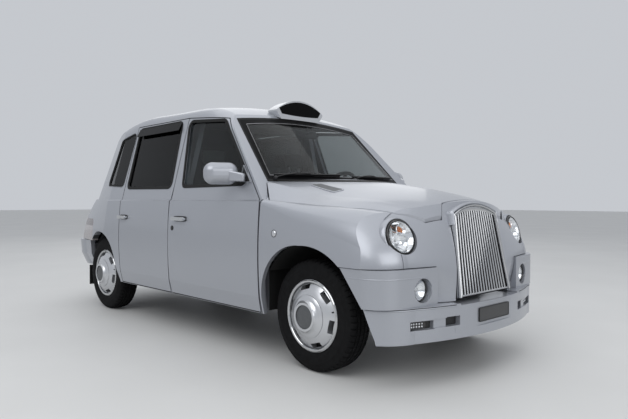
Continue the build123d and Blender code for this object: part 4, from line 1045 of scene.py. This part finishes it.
sewn("driver_cushion_piping", driver_base,
     [(0.105, 0.135, 0.775), (0.56, 0.135, 0.788), (0.56, 0.605, 0.788), (0.105, 0.605, 0.775)])
sewn("driver_backrest_piping", driver_back,
     [(0.208, 0.14, 0.76), (0.208, 0.6, 0.76), (0.092, 0.6, 1.3), (0.092, 0.14, 1.3)])
sewn("driver_headrest_piping", driver_head,
     [(0.075, 0.255, 1.34), (0.075, 0.485, 1.34), (0.075, 0.485, 1.472), (0.075, 0.255, 1.472)],
     0.002, 0.03, 4)
sewn("rear_cushion_piping", bench_base,
     [(-1.41, -0.53, 0.75), (-0.968, -0.53, 0.758), (-0.968, 0.53, 0.758), (-1.41, 0.53, 0.75)])
sewn("rear_backrest_piping", bench_back,
     [(-1.296, -0.53, 0.74), (-1.296, 0.53, 0.74), (-1.402, 0.53, 1.282), (-1.402, -0.53, 1.282)])
for hand, y in (("right", -0.178), ("left", 0.178)):
    seam = [(-1.4, y - 0.002, 0.79), (-0.975, y - 0.002, 0.79), (-0.975, y + 0.002, 0.79)]
    sewn(f"rear_cushion_seam_{hand}", bench_base, seam + [(-1.4, y + 0.002, 0.79)], 0.0018, 0.0015)
for (hand, side), obj in zip(SIDES, tip_pads):
    y0, y1 = sorted((0.2 * side, 0.58 * side))
    edge = [(-0.172, y0, 0.612), (-0.172, y1, 0.612), (-0.172, y1, 1.138), (-0.172, y0, 1.138)]
    sewn(f"tip_up_piping_{hand}", obj, edge, 0.0028, 0.035, 8)

box_piece("driver_seat_box", (0.14, 0.2, 0.4005), (0.5, 0.54, 0.596), BLACK, 0.012)
for y in (0.31, 0.43):
    tube(f"driver_headrest_stalk_{int(y * 1000)}", [(0.036, y, 1.285), (0.033, y, 1.35)], 0.006, STEEL)
for hand, side in SIDES:
    for y in (0.34, 0.44):
        stalk = [(-0.137, y * side, 1.13), (-0.137, y * side, 1.35)]
        tube(f"tip_up_stalk_{hand}_{int(y * 1000)}", stalk, 0.006, STEEL)
    hinge = [(-0.128, 0.196 * side, 0.6), (-0.128, 0.584 * side, 0.6)]
    tube(f"tip_up_hinge_{hand}", hinge, 0.01, CHASSIS, sides=14)
box_piece("rear_bench_box", (-1.4, -0.535, 0.4005), (-1.01, 0.535, 0.59), CARPET, 0.01)


# Cabin

box_piece("partition_pane", (-0.083, -0.5585, 1.1815), (-0.0775, 0.5585, 1.6385), GLASS)
for hand, side in SIDES:
    near, far = sorted((0.03 * side, 0.034 * side))
    box_piece(f"partition_runner_{hand}", (-0.059, near, 1.185), (-0.056, far, 1.635), BLACK, 0.0008)
box_piece("binnacle", (0.712, 0.205, 1.036), (0.905, 0.535, 1.132), TRIM, 0.028)
for y in (0.295, 0.445):
    at = facing(Vector((0.7115, y, 1.084)), Vector((-0.94, 0, 0.34)).normalized())
    number = int(y * 1000)
    ring(f"dial_rim_{number}", 0.052, 0.056, -0.012, 0.006, at, BLACK)
    turned(f"dial_{number}", [(0, 0), (0.0525, 0), (0.0525, 0.003), (0, 0.003)], at, DIAL, sides=40)
    needle = [at @ Vector((0, 0, 0.0042)), at @ Vector((0.03, 0.02, 0.0042))]
    tube(f"dial_hand_{number}", needle, 0.0011, AMBER, sides=6)
for y in (-0.6, -0.085, 0.085, 0.6):
    number = int(y * 1000)
    box_piece(f"air_vent_{number}", (0.683, y - 0.055, 0.985), (0.7, y + 0.055, 1.028), BLACK, 0.004)
    for k in range(4):
        near, far = (0.6805, y - 0.05, 0.9915 + 0.0092 * k), (0.684, y + 0.05, 0.9935 + 0.0092 * k)
        box_piece(f"air_vent_slat_{number}_{k}", near, far, GLOSS_BLACK)
box_piece("centre_stack", (0.688, -0.105, 0.795), (0.72, 0.105, 0.975), GLOSS_BLACK, 0.006)
for k in range(3):
    at = facing(Vector((0.6885, -0.06 + 0.06 * k, 0.83)), Vector((-1, 0, 0)))
    turned(f"heater_knob_{k}", [(0, 0), (0.017, 0), (0.015, 0.014), (0, 0.016)], at, BLACK, sides=28)
box_piece("glove_lid", (0.687, -0.58, 0.8), (0.715, -0.19, 0.945), TRIM, 0.006)
box_piece("glove_catch", (0.6825, -0.405, 0.915), (0.69, -0.365, 0.93), STEEL, 0.002)
for name, y in (("left", 0.5), ("right", 0.22)):
    tube(f"column_stalk_{name}", [(0.668, 0.36, 1.062), (0.652, y, 1.08)], 0.006, BLACK)
hub = facing(Vector((0.6, 0.36, 1.11)), Vector((-200, 0, 135)).normalized())
turned("wheel_boss", domed(0.062, 0.022, 0.014, 0.01), hub, BLACK)
for name, y, wide in (("brake", 0.33, 0.06), ("throttle", 0.21, 0.03)):
    box_piece(f"pedal_{name}", (0.9, y - wide / 2, 0.505), (0.912, y + wide / 2, 0.585), RUBBER, 0.004)
    tube(f"pedal_arm_{name}", [(0.91, y, 0.575), (0.96, y, 0.72)], 0.006, STEEL)


# Bonnet vent, sign faces, rear plate and boot handle

cast = from_above(["bonnet"])
vent = [(1.215, -0.52), (1.235, -0.452), (1.45, -0.452), (1.43, -0.52)]
laid("bonnet_vent", rounded(vent, 0.012), cast, 0.003, HUB, "bonnet")
laid("bonnet_vent_rim", grown(vent, 0.01, 0.022), cast, 0.0038, PAINT, "bonnet",
     inner=grown(vent, 0.001, 0.013), rings=1)

SIGN_HALF, SIGN_BROW_Z, SIGN_TOP_Z, SIGN_FOOT_Z = 0.25, 1.764, 1.853, 1.745


def sign_path(inset, steps=16):
    # Lens shape: over the arched top, then back along the foot.
    reach = SIGN_HALF - inset * 2.0
    path = []
    for i in range(steps + 1):
        y = reach * (1 - 2 * i / steps)
        path.append((y, SIGN_BROW_Z + (SIGN_TOP_Z - inset - SIGN_BROW_Z) * (1 - (y / SIGN_HALF) ** 2)))
    for i in range(1, steps):
        y = reach * (2 * i / steps - 1)
        path.append((y, SIGN_FOOT_Z - 0.006 - 0.012 * (1 - (y / SIGN_HALF) ** 2)))
    return path


for name, x, way in (("front", 0.53, 1), ("rear", 0.42, -1)):
    laid(f"sign_face_{name}", sign_path(0.012), on_plane(x, way), 0.0015, FRIT, sink=-0.0002)
wear(NODES["roof_sign"], SATIN)

cast = from_rear(["boot_lid"])
laid("rear_plate", oval(0, 0.9, 0.25, 0.054, 24, 64), cast, 0.008, PLATE, "boot_lid")
laid("rear_plate_frame", oval(0, 0.9, 0.253, 0.057, 24, 64), cast, 0.01, BLACK, "boot_lid",
     inner=oval(0, 0.9, 0.246, 0.05, 24, 64), rings=1)
laid("boot_handle", oval(0, 0.995, 0.15, 0.016, 6, 48), cast, 0.02, CHROME, "boot_lid")


# Camera, floor and light

CAMERA_AT, CAMERA_YAW, CAMERA_PITCH, CAMERA_ROLL = (4.0862, -3.2228, 1.0418), 136.467, -0.874, 0.131
LENS_MM, SENSOR_MM, FLOOR_HALF = 33.53, 36, 60


def add_camera():
    cam = bpy.data.cameras.new("camera")
    cam.lens = LENS_MM
    cam.sensor_width = SENSOR_MM
    cam.clip_end = 200
    obj = new_object("camera", cam)
    yaw, pitch, roll = [radians(angle) for angle in (CAMERA_YAW, CAMERA_PITCH, CAMERA_ROLL)]
    ahead = Vector((cos(pitch) * cos(yaw), cos(pitch) * sin(yaw), sin(pitch)))
    right = ahead.cross(Vector((0, 0, 1))).normalized()
    up = right.cross(ahead)
    right, up = right * cos(roll) + up * sin(roll), up * cos(roll) - right * sin(roll)
    turn = Matrix((right, up, -ahead)).transposed()
    obj.matrix_world = Matrix.Translation(CAMERA_AT) @ turn.to_4x4()
    bpy.context.scene.camera = obj


def add_light(name, place, aim, size, power):
    light = bpy.data.lights.new(name, "AREA")
    light.shape = "RECTANGLE"
    light.size, light.size_y = size
    light.energy = power
    obj = new_object(name, light)
    obj.location = place
    obj.rotation_euler = (Vector(aim) - Vector(place)).to_track_quat("-Z", "Y").to_euler()


def add_stage():
    mesh = bpy.data.meshes.new("floor")
    corners = [(-FLOOR_HALF, -FLOOR_HALF, 0), (FLOOR_HALF, -FLOOR_HALF, 0), (FLOOR_HALF, FLOOR_HALF, 0)]
    mesh.from_pydata(corners + [(-FLOOR_HALF, FLOOR_HALF, 0)], [], [(0, 1, 2, 3)])
    floor = new_object("floor", mesh)
    wear(floor, material("floor_grey", (0.62, 0.62, 0.61), 0.5, vary=(0.03, 0.8)))
    world = bpy.data.worlds.new("studio")
    bpy.context.scene.world = world
    world.use_nodes = True
    world.node_tree.nodes["Background"].inputs["Color"].default_value = (0.8, 0.83, 0.88, 1)
    world.node_tree.nodes["Background"].inputs["Strength"].default_value = 0.7
    add_light("key", (2.5, -7.0, 7.0), (0.2, 0, 0.8), (9, 6), 330)
    add_light("over", (0.0, 0.5, 8.0), (0, 0, 1), (14, 9), 220)
    add_light("front", (8.5, -1.0, 3.6), (1.5, 0, 0.8), (6, 4), 130)
    add_light("back", (-7.5, 6.5, 6.0), (0, 0, 1), (9, 6), 110)


add_camera()
add_stage()
scene = bpy.context.scene
scene.view_settings.view_transform = "Standard"
